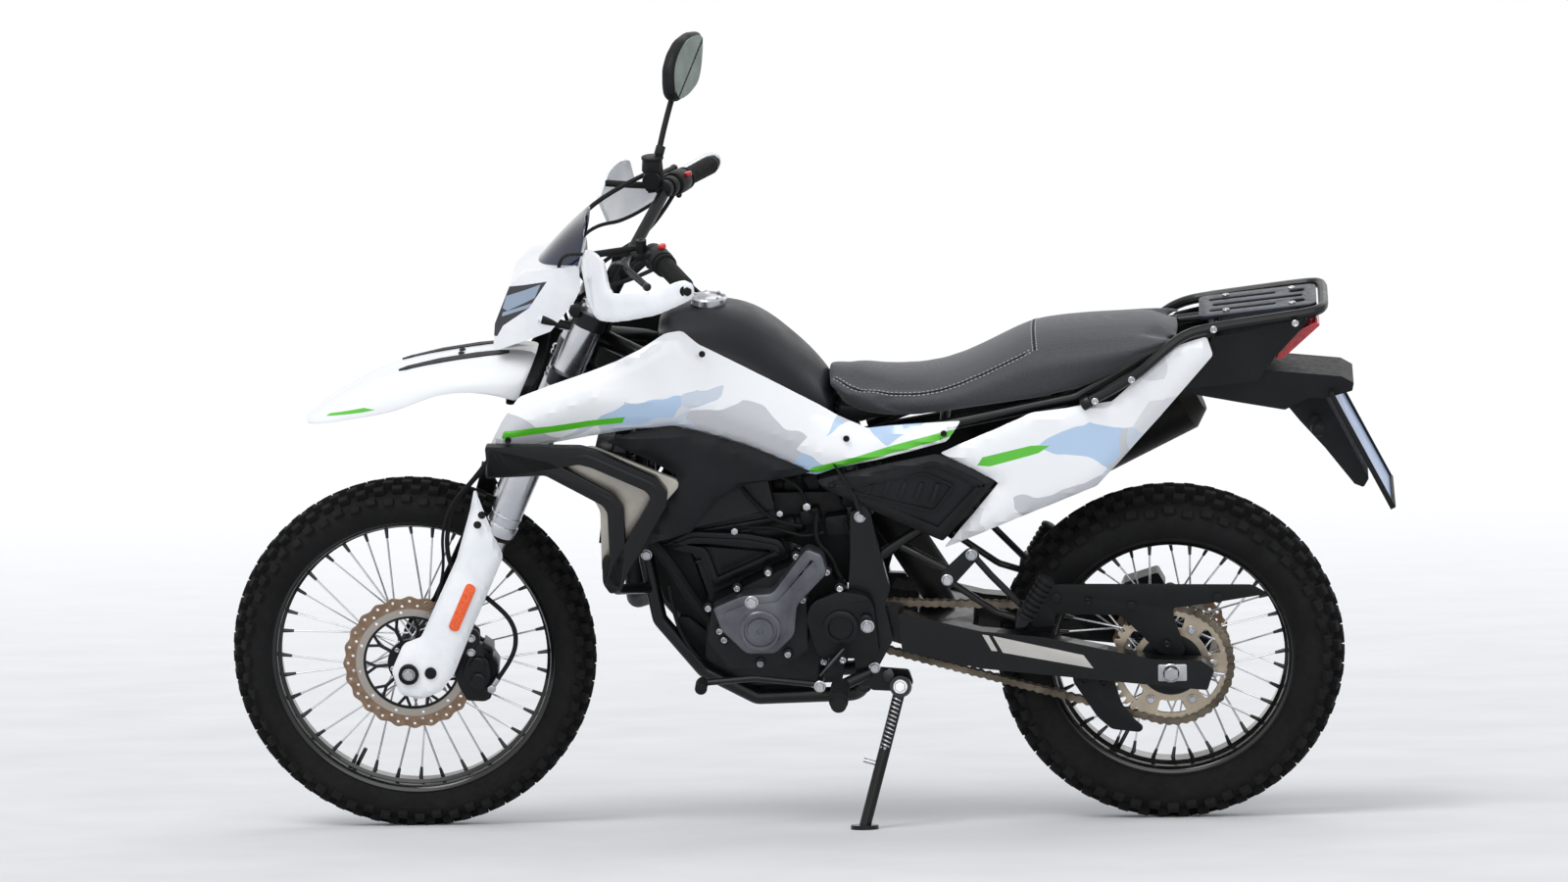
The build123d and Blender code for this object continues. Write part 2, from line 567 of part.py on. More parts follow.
# cross tubes: x, z, half length, diameter
CROSS_TUBES = ((-64, 272, 76, 24), (140, 300, 106, 24), (-264, 700, 74, 22), (140, 694, 112, 28))
for x, z, half, diameter in CROSS_TUBES:
    frame_shape = frame_shape + rod((x, -half, z), (x, half, z), diameter)
boss_near = pivot_point - stand_axis * (STAND_KNUCKLE / 2 + 2 * SEAT_GAP)
boss_far = pivot_point - stand_axis * 40
frame_shape = frame_shape + rod(tuple(boss_far), tuple(boss_near), 34)
frame_shape = frame_shape - rod(tuple(boss_far), tuple(boss_near), STAND_PIN_D + 4 * SEAT_GAP)
frame_shape = frame_shape - bore_out - puck(PIVOT[0], PIVOT[1], -200, 200, 20.6)
add("frame", frame_shape)

RAIL = ((150, -112, 748), (300, -102, 808), (545, -98, 857), (700, -84, 945), (800, -64, 962))
STRUT = ((176, -112, 560), (300, -104, 640), (560, -98, 845))
rail = tube(RAIL, RAIL_D, 60)
strut = tube(STRUT, RAIL_D - 4, 60)
subframe = rail.fuse(mirrored(rail), strut, mirrored(strut), rod((545, -98, 852), (545, 98, 852), 20),
                     rod((300, -100, 804), (300, 100, 804), 20), rod((800, -66, 960), (800, 66, 960), 20))
add("rear_subframe", subframe)

# ---- engine --------------------------------------------------------------------------------
CASE = ((-160, 345), (-70, 292), (96, 296), (108, 380), (100, 470), (60, 560), (-60, 520), (-150, 480))
BARREL = ((-150, 470), (10, 515), (-25, 652), (-193, 612))
HEAD = ((-195, 604), (-20, 645), (-40, 735), (-218, 700))
case = slab(CASE, -66, 100, 14)
IGNITION = ((-150, 400), (-110, 345), (-20, 345), (36, 380), (36, 480), (70, 545), (40, 560), (-60, 515),
            (-140, 475))
ignition = slab(IGNITION, -126, -60, 12)
barrel = slab(BARREL, -66, 66)
cylinder_head = slab(HEAD, -84, 84, 10)
front_sprocket = puck(*FRONT_SPROCKET, CHAIN_Y - SPROCKET_THICK / 2, CHAIN_Y + SPROCKET_THICK / 2,
                      2 * (FRONT_PITCH_R - CHAIN_HEIGHT / 2 - 1))
rear_mount = slab(((60, 522), (70, 556), (136, 558), (140, 532)), -40, 40)
rear_mount = rear_mount.fuse(rod((130, -106, 545), (130, 106, 545), 16))
front_mount = pair(slab(((-168, 598), (-262, 596), (-262, 574), (-168, 572)), -78, -30))
output_shaft = puck(*FRONT_SPROCKET, -92, -60, 26)
engine_parts = [rear_mount, *front_mount, ignition, barrel, cylinder_head, output_shaft, front_sprocket]
add("engine", case.fuse(*engine_parts))
GENERATOR = ((-138, 477), (-123, 431), (-77, 384), (-22, 384), (15, 421), (21, 479), (78, 540), (71, 578),
             (40, 591), (-26, 504), (-81, 501))
gen = slab(GENERATOR, -165, -126, 8)
gen = gen.fuse(puck(-49, 434, -172, -160, 76))

SPROCKET_COVER = ((35, 449), (48, 482), (100, 502), (151, 493), (162, 472), (171, 368), (57, 373))
cover = slab(SPROCKET_COVER, -152, -127, 10)

CYLINDER_COVER = ((-163, 557), (-141, 490), (4, 555), (-11, 584), (-71, 597), (-177, 603), (-238, 574))
cylinder_cover = slab(CYLINDER_COVER, -92, -67, 8)
add("dark_engine_covers", cover, cylinder_cover)
clutch = puck(0, 430, 100, 150, 170).fuse(puck(-100, 370, 100, 138, 70), puck(0, 430, 148, 158, 110))
add("engine_side_covers", gen, clutch)

# exhaust: header down the front, back along the right side, silencer under the tail
HEADER = ((-200, 0, 664), (-262, 0, 640), (-284, 0, 560), (-292, 0, 470), (-294, 62, 425), (-262, 130, 415),
          (-190, 144, 450), (-90, 146, 540), (100, 154, 562), (330, 172, 566), (436, 200, 592))
header = tube(HEADER, 38, 34)
MUFFLER_A = Vector(425, 200, 590)
MUFFLER_B = Vector(772, 200, 768)
way = (MUFFLER_B - MUFFLER_A).normalized()
m_plane = Plane(origin=MUFFLER_A, x_dir=(0, 1, 0), z_dir=way)
can = loft([m_plane * Circle(24), m_plane.offset(70) * Circle(52)])
can = can.fuse(extrude(m_plane.offset(70) * Circle(52), (MUFFLER_B - MUFFLER_A).length - 100))
can = can.fuse(loft([m_plane.offset((MUFFLER_B - MUFFLER_A).length - 30) * Circle(52),
                     m_plane.offset((MUFFLER_B - MUFFLER_A).length) * Circle(30)]))
add("exhaust", header.fuse(can))

# radiators
radiators = []
for side in (-1, 1):
    core = Pos(-318, side * 95, 690) * Rot(0, 8, 0) * Box(30, 110, 180)
    for z in (640, 740):
        core = core + rod((-318, side * 74, z), (-262, side * 74, z), 12)
    radiators.append(core)
add("radiator", *radiators)

# ---- tank, panels, seat --------------------------------------------------------------------
# stations: x, z_low, half_low, z_mid, half_mid, z_top, half_top
TANK = (
    (-232, 962, 70, 1000, 96, 1036, 60), (-160, 938, 120, 990, 138, 1052, 84),
    (-40, 872, 130, 940, 142, 1034, 84), (40, 836, 120, 900, 128, 958, 74),
    (98, 815, 96, 850, 100, 880, 66),
)


def tank_section(x, z_low, half_low, z_mid, half_mid, z_top, half_top, corner=22):
    points = ((x, -half_low, z_low), (x, half_low, z_low), (x, half_mid, z_mid), (x, half_top, z_top),
              (x, -half_top, z_top), (x, -half_mid, z_mid))
    return Wire(FilletPolyline(*points, radius=corner, close=True).edges())


tank = Solid.make_loft([tank_section(*row) for row in TANK], ruled=False)
add("fuel_tank", tank)
cap_plane = Plane(origin=(-140, 0, 1046), x_dir=(1, 0, 0), z_dir=(0.02, 0, 1))
add("tank_cap", extrude(cap_plane * Circle(38), 12))

SHROUD = ((-536, 811), (-478, 903), (-351, 948), (-253, 984), (-205, 1009), (-178, 1010), (-149, 984),
          (-27, 913), (104, 835), (158, 810), (331, 823), (303, 787), (94, 738), (58, 724), (-65, 784),
          (-191, 839), (-266, 836), (-356, 822), (-529, 802))
shroud_levels = (
    (700, ((-560, -215), (-420, -222), (-250, -205), (-100, -168), (60, -152), (350, -146))),
    (860, ((-560, -222), (-420, -232), (-250, -216), (-100, -180), (60, -156), (350, -146))),
    (1030, ((-560, -185), (-420, -195), (-250, -176), (-100, -146), (60, -136), (350, -130))),
)
shroud = slab(SHROUD, -300, -60) & wall(shroud_levels, PANEL)
# pegs behind the shroud: x, z, outer y, inner y, diameter
SHROUD_PEGS = ((-90, 928, -165, -124, 12), (200, 768, -148, -106, 14), (-262, 862, -214.5, -62, 10))
for x, z, y_out, y_in, diameter in SHROUD_PEGS:
    shroud = shroud + rod((x, y_out, z), (x, y_in, z), diameter)
add("side_shrouds", pair(shroud))

SILVER = ((-400, 768), (-385, 786), (-268, 743), (-239, 721), (-291, 620), (-293, 560), (-320, 560),
          (-335, 571), (-334, 688), (-345, 710))
add("radiator_panels", pair(slab(SILVER, -222, -216, 4)))
BAR_UPPER = ((-538, -232, 791), (-355, -238, 800), (-232, -238, 742), (-225, -238, 712), (-314, -225, 536),
             (-262, -84, 492))
BAR_LOWER = ((-538, -232, 788), (-430, -236, 779), (-308, -238, 712), (-301, -236, 610), (-312, -228, 545))
crash = tube(BAR_UPPER, CRASH_BAR_D, 22).fuse(tube(BAR_LOWER, CRASH_BAR_D, 22))
add("crash_bars", pair(crash))
LOWER_FAIRING = ((-322, 812), (-203, 834), (-60, 777), (52, 722), (-66, 718), (-122, 689), (-172, 630),
                 (-251, 610), (-290, 558), (-192, 741), (-240, 772))
lower_levels = (
    (500, ((-400, -196), (-200, -184), (80, -140))),
    (860, ((-400, -206), (-200, -192), (80, -146))),
)
fairing = slab(LOWER_FAIRING, -260, -60) & wall(lower_levels, PANEL)
fairing = fairing.fuse(rod((-225, -187, 650), (-263, -76, 650), 10))
add("lower_fairings", pair(fairing))

# stations as the tank's
SEAT = (
    (82, 884, 52, 915, 66, 952, 46), (140, 822, 74, 880, 92, 949, 66), (213, 816, 92, 872, 110, 922, 86),
    (302, 829, 108, 880, 124, 931, 98), (377, 840, 114, 905, 130, 958, 100),
    (463, 853, 116, 950, 132, 1002, 98), (570, 878, 112, 965, 132, 1020, 98),
    (717, 966, 104, 992, 120, 1023, 92), (746, 984, 98, 998, 114, 1013, 90),
)
seat_wires = [tank_section(*row, corner=10) for row in SEAT]
add("seat", Solid.make_loft(seat_wires, ruled=True))

TAIL_PANEL = ((786, 972), (796, 934), (579, 694), (295, 576), (401, 704), (292, 762), (463, 838), (611, 856),
              (731, 956))
tail_levels = (
    (560, ((280, -132), (450, -134), (620, -130), (800, -100))),
    (1000, ((280, -142), (450, -146), (620, -140), (800, -112))),
)
tail_panel = slab(TAIL_PANEL, -260, -60) & wall(tail_levels, PANEL)
add("tail_panels", pair(tail_panel.fuse(rod((600, -135, 842), (600, -92, 862), 12))))
SIDE_COVER = ((62, 715), (286, 760), (392, 706), (293, 592), (76, 699))
side_levels = (
    (560, ((0, -138), (200, -140), (420, -132))),
    (800, ((0, -148), (200, -148), (420, -138))),
)
side_cover = slab(SIDE_COVER, -260, -60) & wall(side_levels, PANEL)
add("side_covers", pair(side_cover.fuse(rod((162, -143, 722), (162, -112, 740), 12))))

TAIL_COWL = ((734, 868), (800, 968), (931, 990), (984, 999), (911, 922), (880, 880))
TAIL_PLAN = ((720, -98), (860, -90), (1000, -70))
add("tail_cowl", slab(TAIL_COWL, -100, 100, 6) & plan_prism(TAIL_PLAN, 850, 1010))
TAIL_LIGHT = ((984, 984), (953, 968), (918, 936), (912, 910), (921, 910), (992, 978))
add("tail_light", slab(TAIL_LIGHT, -70, 70, 1.5))
REAR_FENDER = ((881, 895), (1036, 879), (1058, 866), (1055, 851), (1005, 837), (974, 838), (930, 816),
               (849, 831), (768, 847), (740, 862))
fender = slab(REAR_FENDER, -62, 62, 3)
PLATE_ARM = ((930, 822), (1000, 842), (1085, 672), (1075, 655), (1058, 662), (1004, 733), (958, 786))
add("rear_fender", fender.fuse(slab(PLATE_ARM, -34, 34, 4)))
PLATE = ((1014, 846), (1018, 848), (1128, 634), (1124, 632))
add("licence_plate", slab(PLATE, -88, 88))

RACK_SIDE = ((564, -140, 858), (640, -145, 895), (731, -145, 981), (782, -145, 993), (965, -145, 1014),
             (1003, -145, 1050), (996, -132, 1078), (960, -120, 1082))
rack_tubes = tube(RACK_SIDE, RACK_TUBE_D, 14)
rack_slope = math.degrees(math.atan2(1019 - 998, 977 - 780))
rack_plane = Plane(origin=(882, 0, 1009), x_dir=(cos_d(rack_slope), 0, sin_d(rack_slope)),
                   z_dir=(-sin_d(rack_slope), 0, cos_d(rack_slope)))
rack_plate = extrude(rack_plane * RectangleRounded(RACK_PLATE_L, RACK_PLATE_W, 14), -RACK_PLATE_T)
for slot_x in (-48, -16, 16, 48):
    rack_plate = rack_plate - extrude(rack_plane * Pos(slot_x, 0) * SlotOverall(70, 12), -RACK_PLATE_T)
crossers = []
for x, z in ((806, 987), (958, 1003)):
    crossers.append(rod((x, -145, z), (x, 145, z), 14))
for side in (-1, 1):
    crossers.append(rod((806, side * 62, 988), (801, side * 62, 960), 14))
add("rear_rack", rack_tubes.fuse(mirrored(rack_tubes), rack_plate, *crossers))

# ---- swingarm, shock, rear brake, guards ---------------------------------------------------
ARM = ((206, 452), (360, 413), (477, 400), (680, 354), (770, 350), (792, 332), (780, 292), (583, 314),
       (358, 340), (212, 376))
ARM_NOSE = ((118, 436), (130, 462), (216, 458), (216, 380), (130, 410))
arm = slab(ARM, -ARM_OUTER, -ARM_INNER, 6)
arm_nose = slab(ARM_NOSE, -104, -92, 6).fuse(puck(PIVOT[0], PIVOT[1], -104, -92, 50))
cross = slab(((236, 440), (345, 412), (350, 352), (240, 372)), -ARM_INNER - 2, ARM_INNER + 2, 8)
swing = arm.fuse(arm_nose, mirrored(arm), mirrored(arm_nose), cross)
swing = swing.fuse(rod((PIVOT[0], -106, PIVOT[1]), (PIVOT[0], 106, PIVOT[1]), 20))
rear_axle = puck(REAR_AXLE_X, REAR_AXLE_Z, -ARM_OUTER - 14, ARM_OUTER + 14, REAR_AXLE_D)
swing = swing.fuse(rear_axle, puck(REAR_AXLE_X, REAR_AXLE_Z, -ARM_OUTER - 10, -ARM_OUTER, 30),
                   puck(REAR_AXLE_X, REAR_AXLE_Z, ARM_OUTER, ARM_OUTER + 10, 30))
add("swingarm", swing)

GUARD_FIN = ((500, 482), (874, 483), (893, 468), (788, 452), (713, 447), (620, 440), (584, 452), (499, 450),
             (467, 458))
fin = slab(GUARD_FIN, -100, -94, 2)
fin = fin.fuse(slab(((744, 338), (700, 453), (640, 450), (616, 368)), -ARM_INNER, -94, 2))
SHARK = ((529, 309), (597, 205), (656, 199), (662, 214), (608, 240), (582, 300))
shark_root = slab(((535, 330), (580, 318), (582, 290), (545, 290)), -102, -96)
add("chain_guards", fin, slab(SHARK, -102, -96, 2).fuse(shark_root))

shock_low = Vector(292, 0, 418)
shock_top = Vector(156, 0, 694)
shock = rod(tuple(shock_low), tuple(shock_top), 46).fuse(
    rod(tuple(shock_low + Vector(-12, 0, 42)), tuple(shock_top + Vector(18, 0, -60)), 76))
add("rear_shock", shock)

REAR_CALIPER = ((606, 400), (626, 446), (690, 466), (704, 440), (690, 404), (662, 352), (640, 352))
rear_caliper = slab(REAR_CALIPER, REAR_DISC_Y - 22, ARM_INNER - SEAT_GAP, 6)
rear_caliper = rear_caliper - puck(REAR_AXLE_X, REAR_AXLE_Z, REAR_DISC_Y - DISC_THICK / 2 - DISC_CLEAR,
                                   REAR_DISC_Y + DISC_THICK / 2 + DISC_CLEAR, 2 * (REAR_DISC_R + DISC_CLEAR))
add("rear_caliper", rear_caliper)

# ---- feet ----------------------------------------------------------------------------------
controls = []
for side in (-1, 1):
    peg = rod((97, side * 150, 317), (97, side * 262, 317), 30)
    bracket = rod((150, side * 126.3, 335), (97, side * 152, 317), 22)
    controls.append(peg.fuse(bracket))
lever = tube(((60, -180, 330), (-60, -182, 345), (-160, -186, 338)), 12, 40).fuse(
    rod((-160, -180, 338), (-160, -222, 338), 20), rod((60, -186, 330), (60, -66, 330), 14))
pedal = tube(((132, 122, 332), (60, 170, 290), (-110, 176, 300)), 13, 40)
pedal = pedal.fuse(rod((-110, 160, 300), (-110, 215, 300), 22))
add("foot_controls", *controls, lever, pedal)

PEG_BRACKET = ((300, 531), (349, 575), (395, 520), (426, 462), (447, 451), (470, 470), (440, 500),
               (400, 545), (345, 598), (285, 545))
hanger = slab(PEG_BRACKET, -150, -138, 4)
folded_peg = rod((452, -164, 462), (490, -164, 540), 34)
peg_arm = rod((452, -164, 470), (440, -140, 480), 16)
hanger_arm = rod((302, -140, 540), (215, -110, 576), 18)
hanger = hanger.fuse(folded_peg, peg_arm, hanger_arm)
add("passenger_pegs", pair(hanger))

# ---- side stand ----------------------------------------------------------------------------
foot_plane = Plane(origin=foot_point, x_dir=(1, 0, 0), z_dir=floor_up)
foot = extrude(foot_plane * Circle(STAND_FOOT_R), STAND_FOOT_T)
leg = rod(tuple(pivot_point), tuple(foot_point + floor_up * STAND_FOOT_T / 2), STAND_LEG_D)
knuckle_half = stand_axis * STAND_KNUCKLE / 2
knuckle = rod(tuple(pivot_point - knuckle_half), tuple(pivot_point + knuckle_half), 40)
pin = rod(tuple(pivot_point - stand_axis * 32), tuple(pivot_point + stand_axis * 14), STAND_PIN_D)
add("side_stand", leg.fuse(foot, knuckle, pin))

# ---- seats cut where one piece lies against another ----------------------------------------
SEATS = (
    ("brake_hose", "hand_controls"), ("chain_guards", "swingarm"), ("radiator_panels", "crash_bars"),
    ("hand_controls", "handlebar"), ("mirror", "handlebar"), ("hand_controls", "mirror"),
    ("rear_rack", "tail_panels"), ("windscreen", "headlight_cowl"), ("headlight_cowl", "fork_tubes"),
    ("side_shrouds", "frame"), ("side_shrouds", "fuel_tank"), ("side_shrouds", "rear_subframe"),
    ("lower_fairings", "frame"), ("tail_panels", "rear_subframe"), ("side_covers", "rear_subframe"),
    ("side_covers", "frame"), ("rear_rack", "rear_subframe"), ("rear_rack", "tail_cowl"),
    ("triple_clamps", "fork_tubes"), ("triple_clamps", "handlebar"), ("front_caliper", "fork_legs"),
    ("brake_hose", "front_caliper"), ("brake_hose", "triple_clamps"), ("engine", "frame"),
    ("fuel_tank", "frame"), ("tank_cap", "fuel_tank"), ("seat", "fuel_tank"), ("radiator", "frame"),
    ("rear_subframe", "frame"), ("seat", "rear_subframe"), ("tail_cowl", "rear_subframe"),
    ("tail_cowl", "seat"), ("rear_fender", "tail_cowl"), ("tail_light", "tail_cowl"),
    ("licence_plate", "rear_fender"), ("crash_bars", "frame"), ("exhaust", "engine"),
    ("dark_engine_covers", "engine"), ("engine_side_covers", "engine"), ("rear_shock", "swingarm"),
    ("rear_shock", "frame"), ("foot_controls", "frame"), ("passenger_pegs", "rear_subframe"),
)
for piece, neighbour in SEATS:
    nodes[piece] = nodes[piece] - nodes[neighbour]

# ---- lean onto the stand and write ---------------------------------------------------------
leaned = {}
for name, shape in nodes.items():
    leaned[name] = Compound(shape.solids()).moved(Location((0, 0, 0), (LEAN, 0, 0)))
whole = Compound(list(leaned.values())).bounding_box()
shift = Location((-(whole.min.X + whole.max.X) / 2, -(whole.min.Y + whole.max.Y) / 2, -whole.min.Z))
for name, shape in leaned.items():
    export_step(shape.moved(shift), f"parts/{name}.step")
print("origin shift", tuple(round(v, 3) for v in shift.position))
print("size", [round(v, 1) for v in (whole.size.X, whole.size.Y, whole.size.Z)])
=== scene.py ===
"""Finishes and fine parts of a dual sport motorcycle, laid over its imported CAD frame.

Pieces are drawn on the upright machine in millimetres (X to the rear, Y to the rider's right, Z up,
floor at 0, X = 0 halfway between the axles), then leaned with it onto the side stand.
"""
import json
import math

import bpy
from bpy.props import FloatProperty, FloatVectorProperty, IntProperty, PointerProperty
from mathutils import Matrix, Vector


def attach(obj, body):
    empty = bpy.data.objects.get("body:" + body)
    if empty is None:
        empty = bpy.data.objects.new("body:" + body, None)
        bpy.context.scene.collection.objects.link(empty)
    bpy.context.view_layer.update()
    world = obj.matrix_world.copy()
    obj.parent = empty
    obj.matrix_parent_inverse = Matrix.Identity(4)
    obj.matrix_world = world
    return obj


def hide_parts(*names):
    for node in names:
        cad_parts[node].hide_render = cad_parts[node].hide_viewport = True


bl_info = {
    "name": "Dual sport motorcycle",
    "version": (1, 0, 0),
    "blender": (4, 5, 0),
    "location": "3D View > Sidebar > Motorcycle",
    "description": "Dresses the packed frame of a dual sport motorcycle",
    "category": "Object",
}

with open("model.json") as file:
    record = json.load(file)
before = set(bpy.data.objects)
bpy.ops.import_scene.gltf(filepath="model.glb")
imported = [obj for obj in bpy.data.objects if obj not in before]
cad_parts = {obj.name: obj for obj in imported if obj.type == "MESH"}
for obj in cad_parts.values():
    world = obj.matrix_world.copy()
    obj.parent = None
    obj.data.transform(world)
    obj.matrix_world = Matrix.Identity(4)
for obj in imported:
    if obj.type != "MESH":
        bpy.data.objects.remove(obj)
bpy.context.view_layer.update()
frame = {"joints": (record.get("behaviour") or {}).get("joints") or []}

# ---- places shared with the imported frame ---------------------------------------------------
MM = 0.001
LEAN = 15.0
FRONT_AXLE = (-712.5, 344.2)   # x, z on the upright machine
REAR_AXLE = (712.5, 328.4)
joints = {joint["name"]: joint for joint in frame["joints"]}
turn = Matrix.Rotation(math.radians(LEAN), 4, "X")
axle_place = Vector(joints["front_wheel_spin"]["pos_m"])
axle_drawn = Vector((FRONT_AXLE[0], 0, FRONT_AXLE[1])) * MM
SHIFT = axle_place - turn @ axle_drawn
LEANED = Matrix.Translation(SHIFT) @ turn

RAKE = 24.3
UP_X, UP_Z = math.sin(math.radians(RAKE)), math.cos(math.radians(RAKE))
HEAD_X = FRONT_AXLE[0] + 786.0 * UP_X + 73.6 * UP_Z
HEAD_Z = FRONT_AXLE[1] + 786.0 * UP_Z - 73.6 * UP_X
CHAIN_Y = -80.0
CHAIN_PITCH = 15.875
FRONT_SPROCKET = (100.0, 425.0)


def fork_point(along, ahead, side):
    """A point along the steering axis (up from its top), ahead of it and to the right."""
    return (HEAD_X + along * UP_X - ahead * UP_Z, side, HEAD_Z + along * UP_Z + ahead * UP_X)


# ---- colours and finishes ------------------------------------------------------------------
def linear(hex_code):
    """An sRGB hex colour as the linear colour that a socket takes."""
    parts = [int(hex_code[i:i + 2], 16) / 255 for i in (1, 3, 5)]
    return tuple(c / 12.92 if c <= 0.04045 else ((c + 0.055) / 1.055) ** 2.4 for c in parts) + (1.0,)


def chosen(colour):
    """A colour given as a hex code, or as the name of one of the panel's colours."""
    if colour.startswith("#"):
        return linear(colour)
    return tuple(getattr(bpy.context.scene.moto_colours, colour)) + (1.0,)


def add_node(tree, kind, settings=None, links=None, onward=None):
    """Adds one node with its settings, links its inputs from outputs, and its outputs on to inputs."""
    node = tree.nodes.new(kind)
    for key, value in (settings or {}).items():
        if isinstance(key, str) and hasattr(node, key):
            setattr(node, key, value)
        else:
            node.inputs[key].default_value = value
    for key, source in (links or {}).items():
        tree.links.new(source, node.inputs[key])
    for key, target in (onward or {}).items():
        tree.links.new(node.outputs[key], target)
    return node


def upright(tree):
    """Object coordinates turned back to the upright machine, in millimetres."""
    place = LEANED.inverted().to_translation() / MM
    coords = add_node(tree, "ShaderNodeTexCoord")
    mapping = add_node(
        tree, "ShaderNodeMapping",
        {"Location": place, "Rotation": (-math.radians(LEAN), 0, 0), "Scale": (1 / MM,) * 3},
        {"Vector": coords.outputs["Object"]})
    return mapping.outputs["Vector"]


def new_finish(name, roughness, metallic=0.0, **sockets):
    """A material with one Principled shader, and the upright coordinates for its patterns."""
    material = bpy.data.materials.new(name)
    material.use_nodes = True
    tree = material.node_tree
    shader = tree.nodes["Principled BSDF"]
    shader.inputs["Roughness"].default_value = roughness
    shader.inputs["Metallic"].default_value = metallic
    for socket, value in sockets.items():
        shader.inputs[socket.replace("_", " ")].default_value = value
    return material, tree, shader, upright(tree)


def laid_over(tree, under, over, source, low=0.0, high=1.0, most=1.0):
    """One colour over another, up to the share most, as a value runs from low to high.

    Each colour is a hex code, the name of a panel colour, or a socket."""
    share = add_node(tree, "ShaderNodeMapRange", {"From Min": low, "From Max": high, "To Max": most},
                     {"Value": source})
    blend = add_node(tree, "ShaderNodeMix", {"data_type": "RGBA"}, {"Factor": share.outputs["Result"]})
    for socket, value in ((blend.inputs[6], under), (blend.inputs[7], over)):
        if isinstance(value, str):
            socket.default_value = chosen(value)
        else:
            tree.links.new(value, socket)
    return blend.outputs[2]


def clouded(tree, place, size, low, high, under, over, detail=3.0, most=1.0):
    """Soft clouds of one colour over another, as wide as size in the units of place."""
    clouds = add_node(tree, "ShaderNodeTexNoise", {"Scale": 1 / size, "Detail": detail}, {"Vector": place})
    return laid_over(tree, under, over, clouds.outputs["Fac"], low, high, most)


def grained(tree, shader, place, size_mm, strength, depth_mm):
    """Raises a fine lumpy skin on the surface."""
    lumps = add_node(tree, "ShaderNodeTexNoise", {"Scale": 1 / size_mm, "Detail": 2.0}, {"Vector": place})
    add_node(tree, "ShaderNodeBump", {"Strength": strength, "Distance": depth_mm * MM},
             {"Height": lumps.outputs["Fac"]}, {"Normal": shader.inputs["Normal"]})


POLYGON_EDGE = 0.4   # half the width of a printed outline's soft edge, mm


def polygon(tree, place, corners):
    """1 inside a convex outline of (x, z) corners given clockwise on the left side, else 0."""
    inside = None
    for (ax, az), (bx, bz) in zip(corners, corners[1:] + corners[:1]):
        nx, nz = bz - az, ax - bx
        length = math.hypot(nx, nz)
        nx, nz = nx / length, nz / length
        dot = add_node(tree, "ShaderNodeVectorMath", {"operation": "DOT_PRODUCT", 1: (nx, 0, nz)}, {0: place})
        level = nx * ax + nz * az
        edge = add_node(tree, "ShaderNodeMapRange",
                        {"From Min": level - POLYGON_EDGE, "From Max": level + POLYGON_EDGE},
                        {"Value": dot.outputs["Value"]}).outputs["Result"]
        if inside is None:
            inside = edge
        else:
            inside = add_node(tree, "ShaderNodeMath", {"operation": "MULTIPLY"},
                              {0: inside, 1: edge}).outputs["Value"]
    return inside


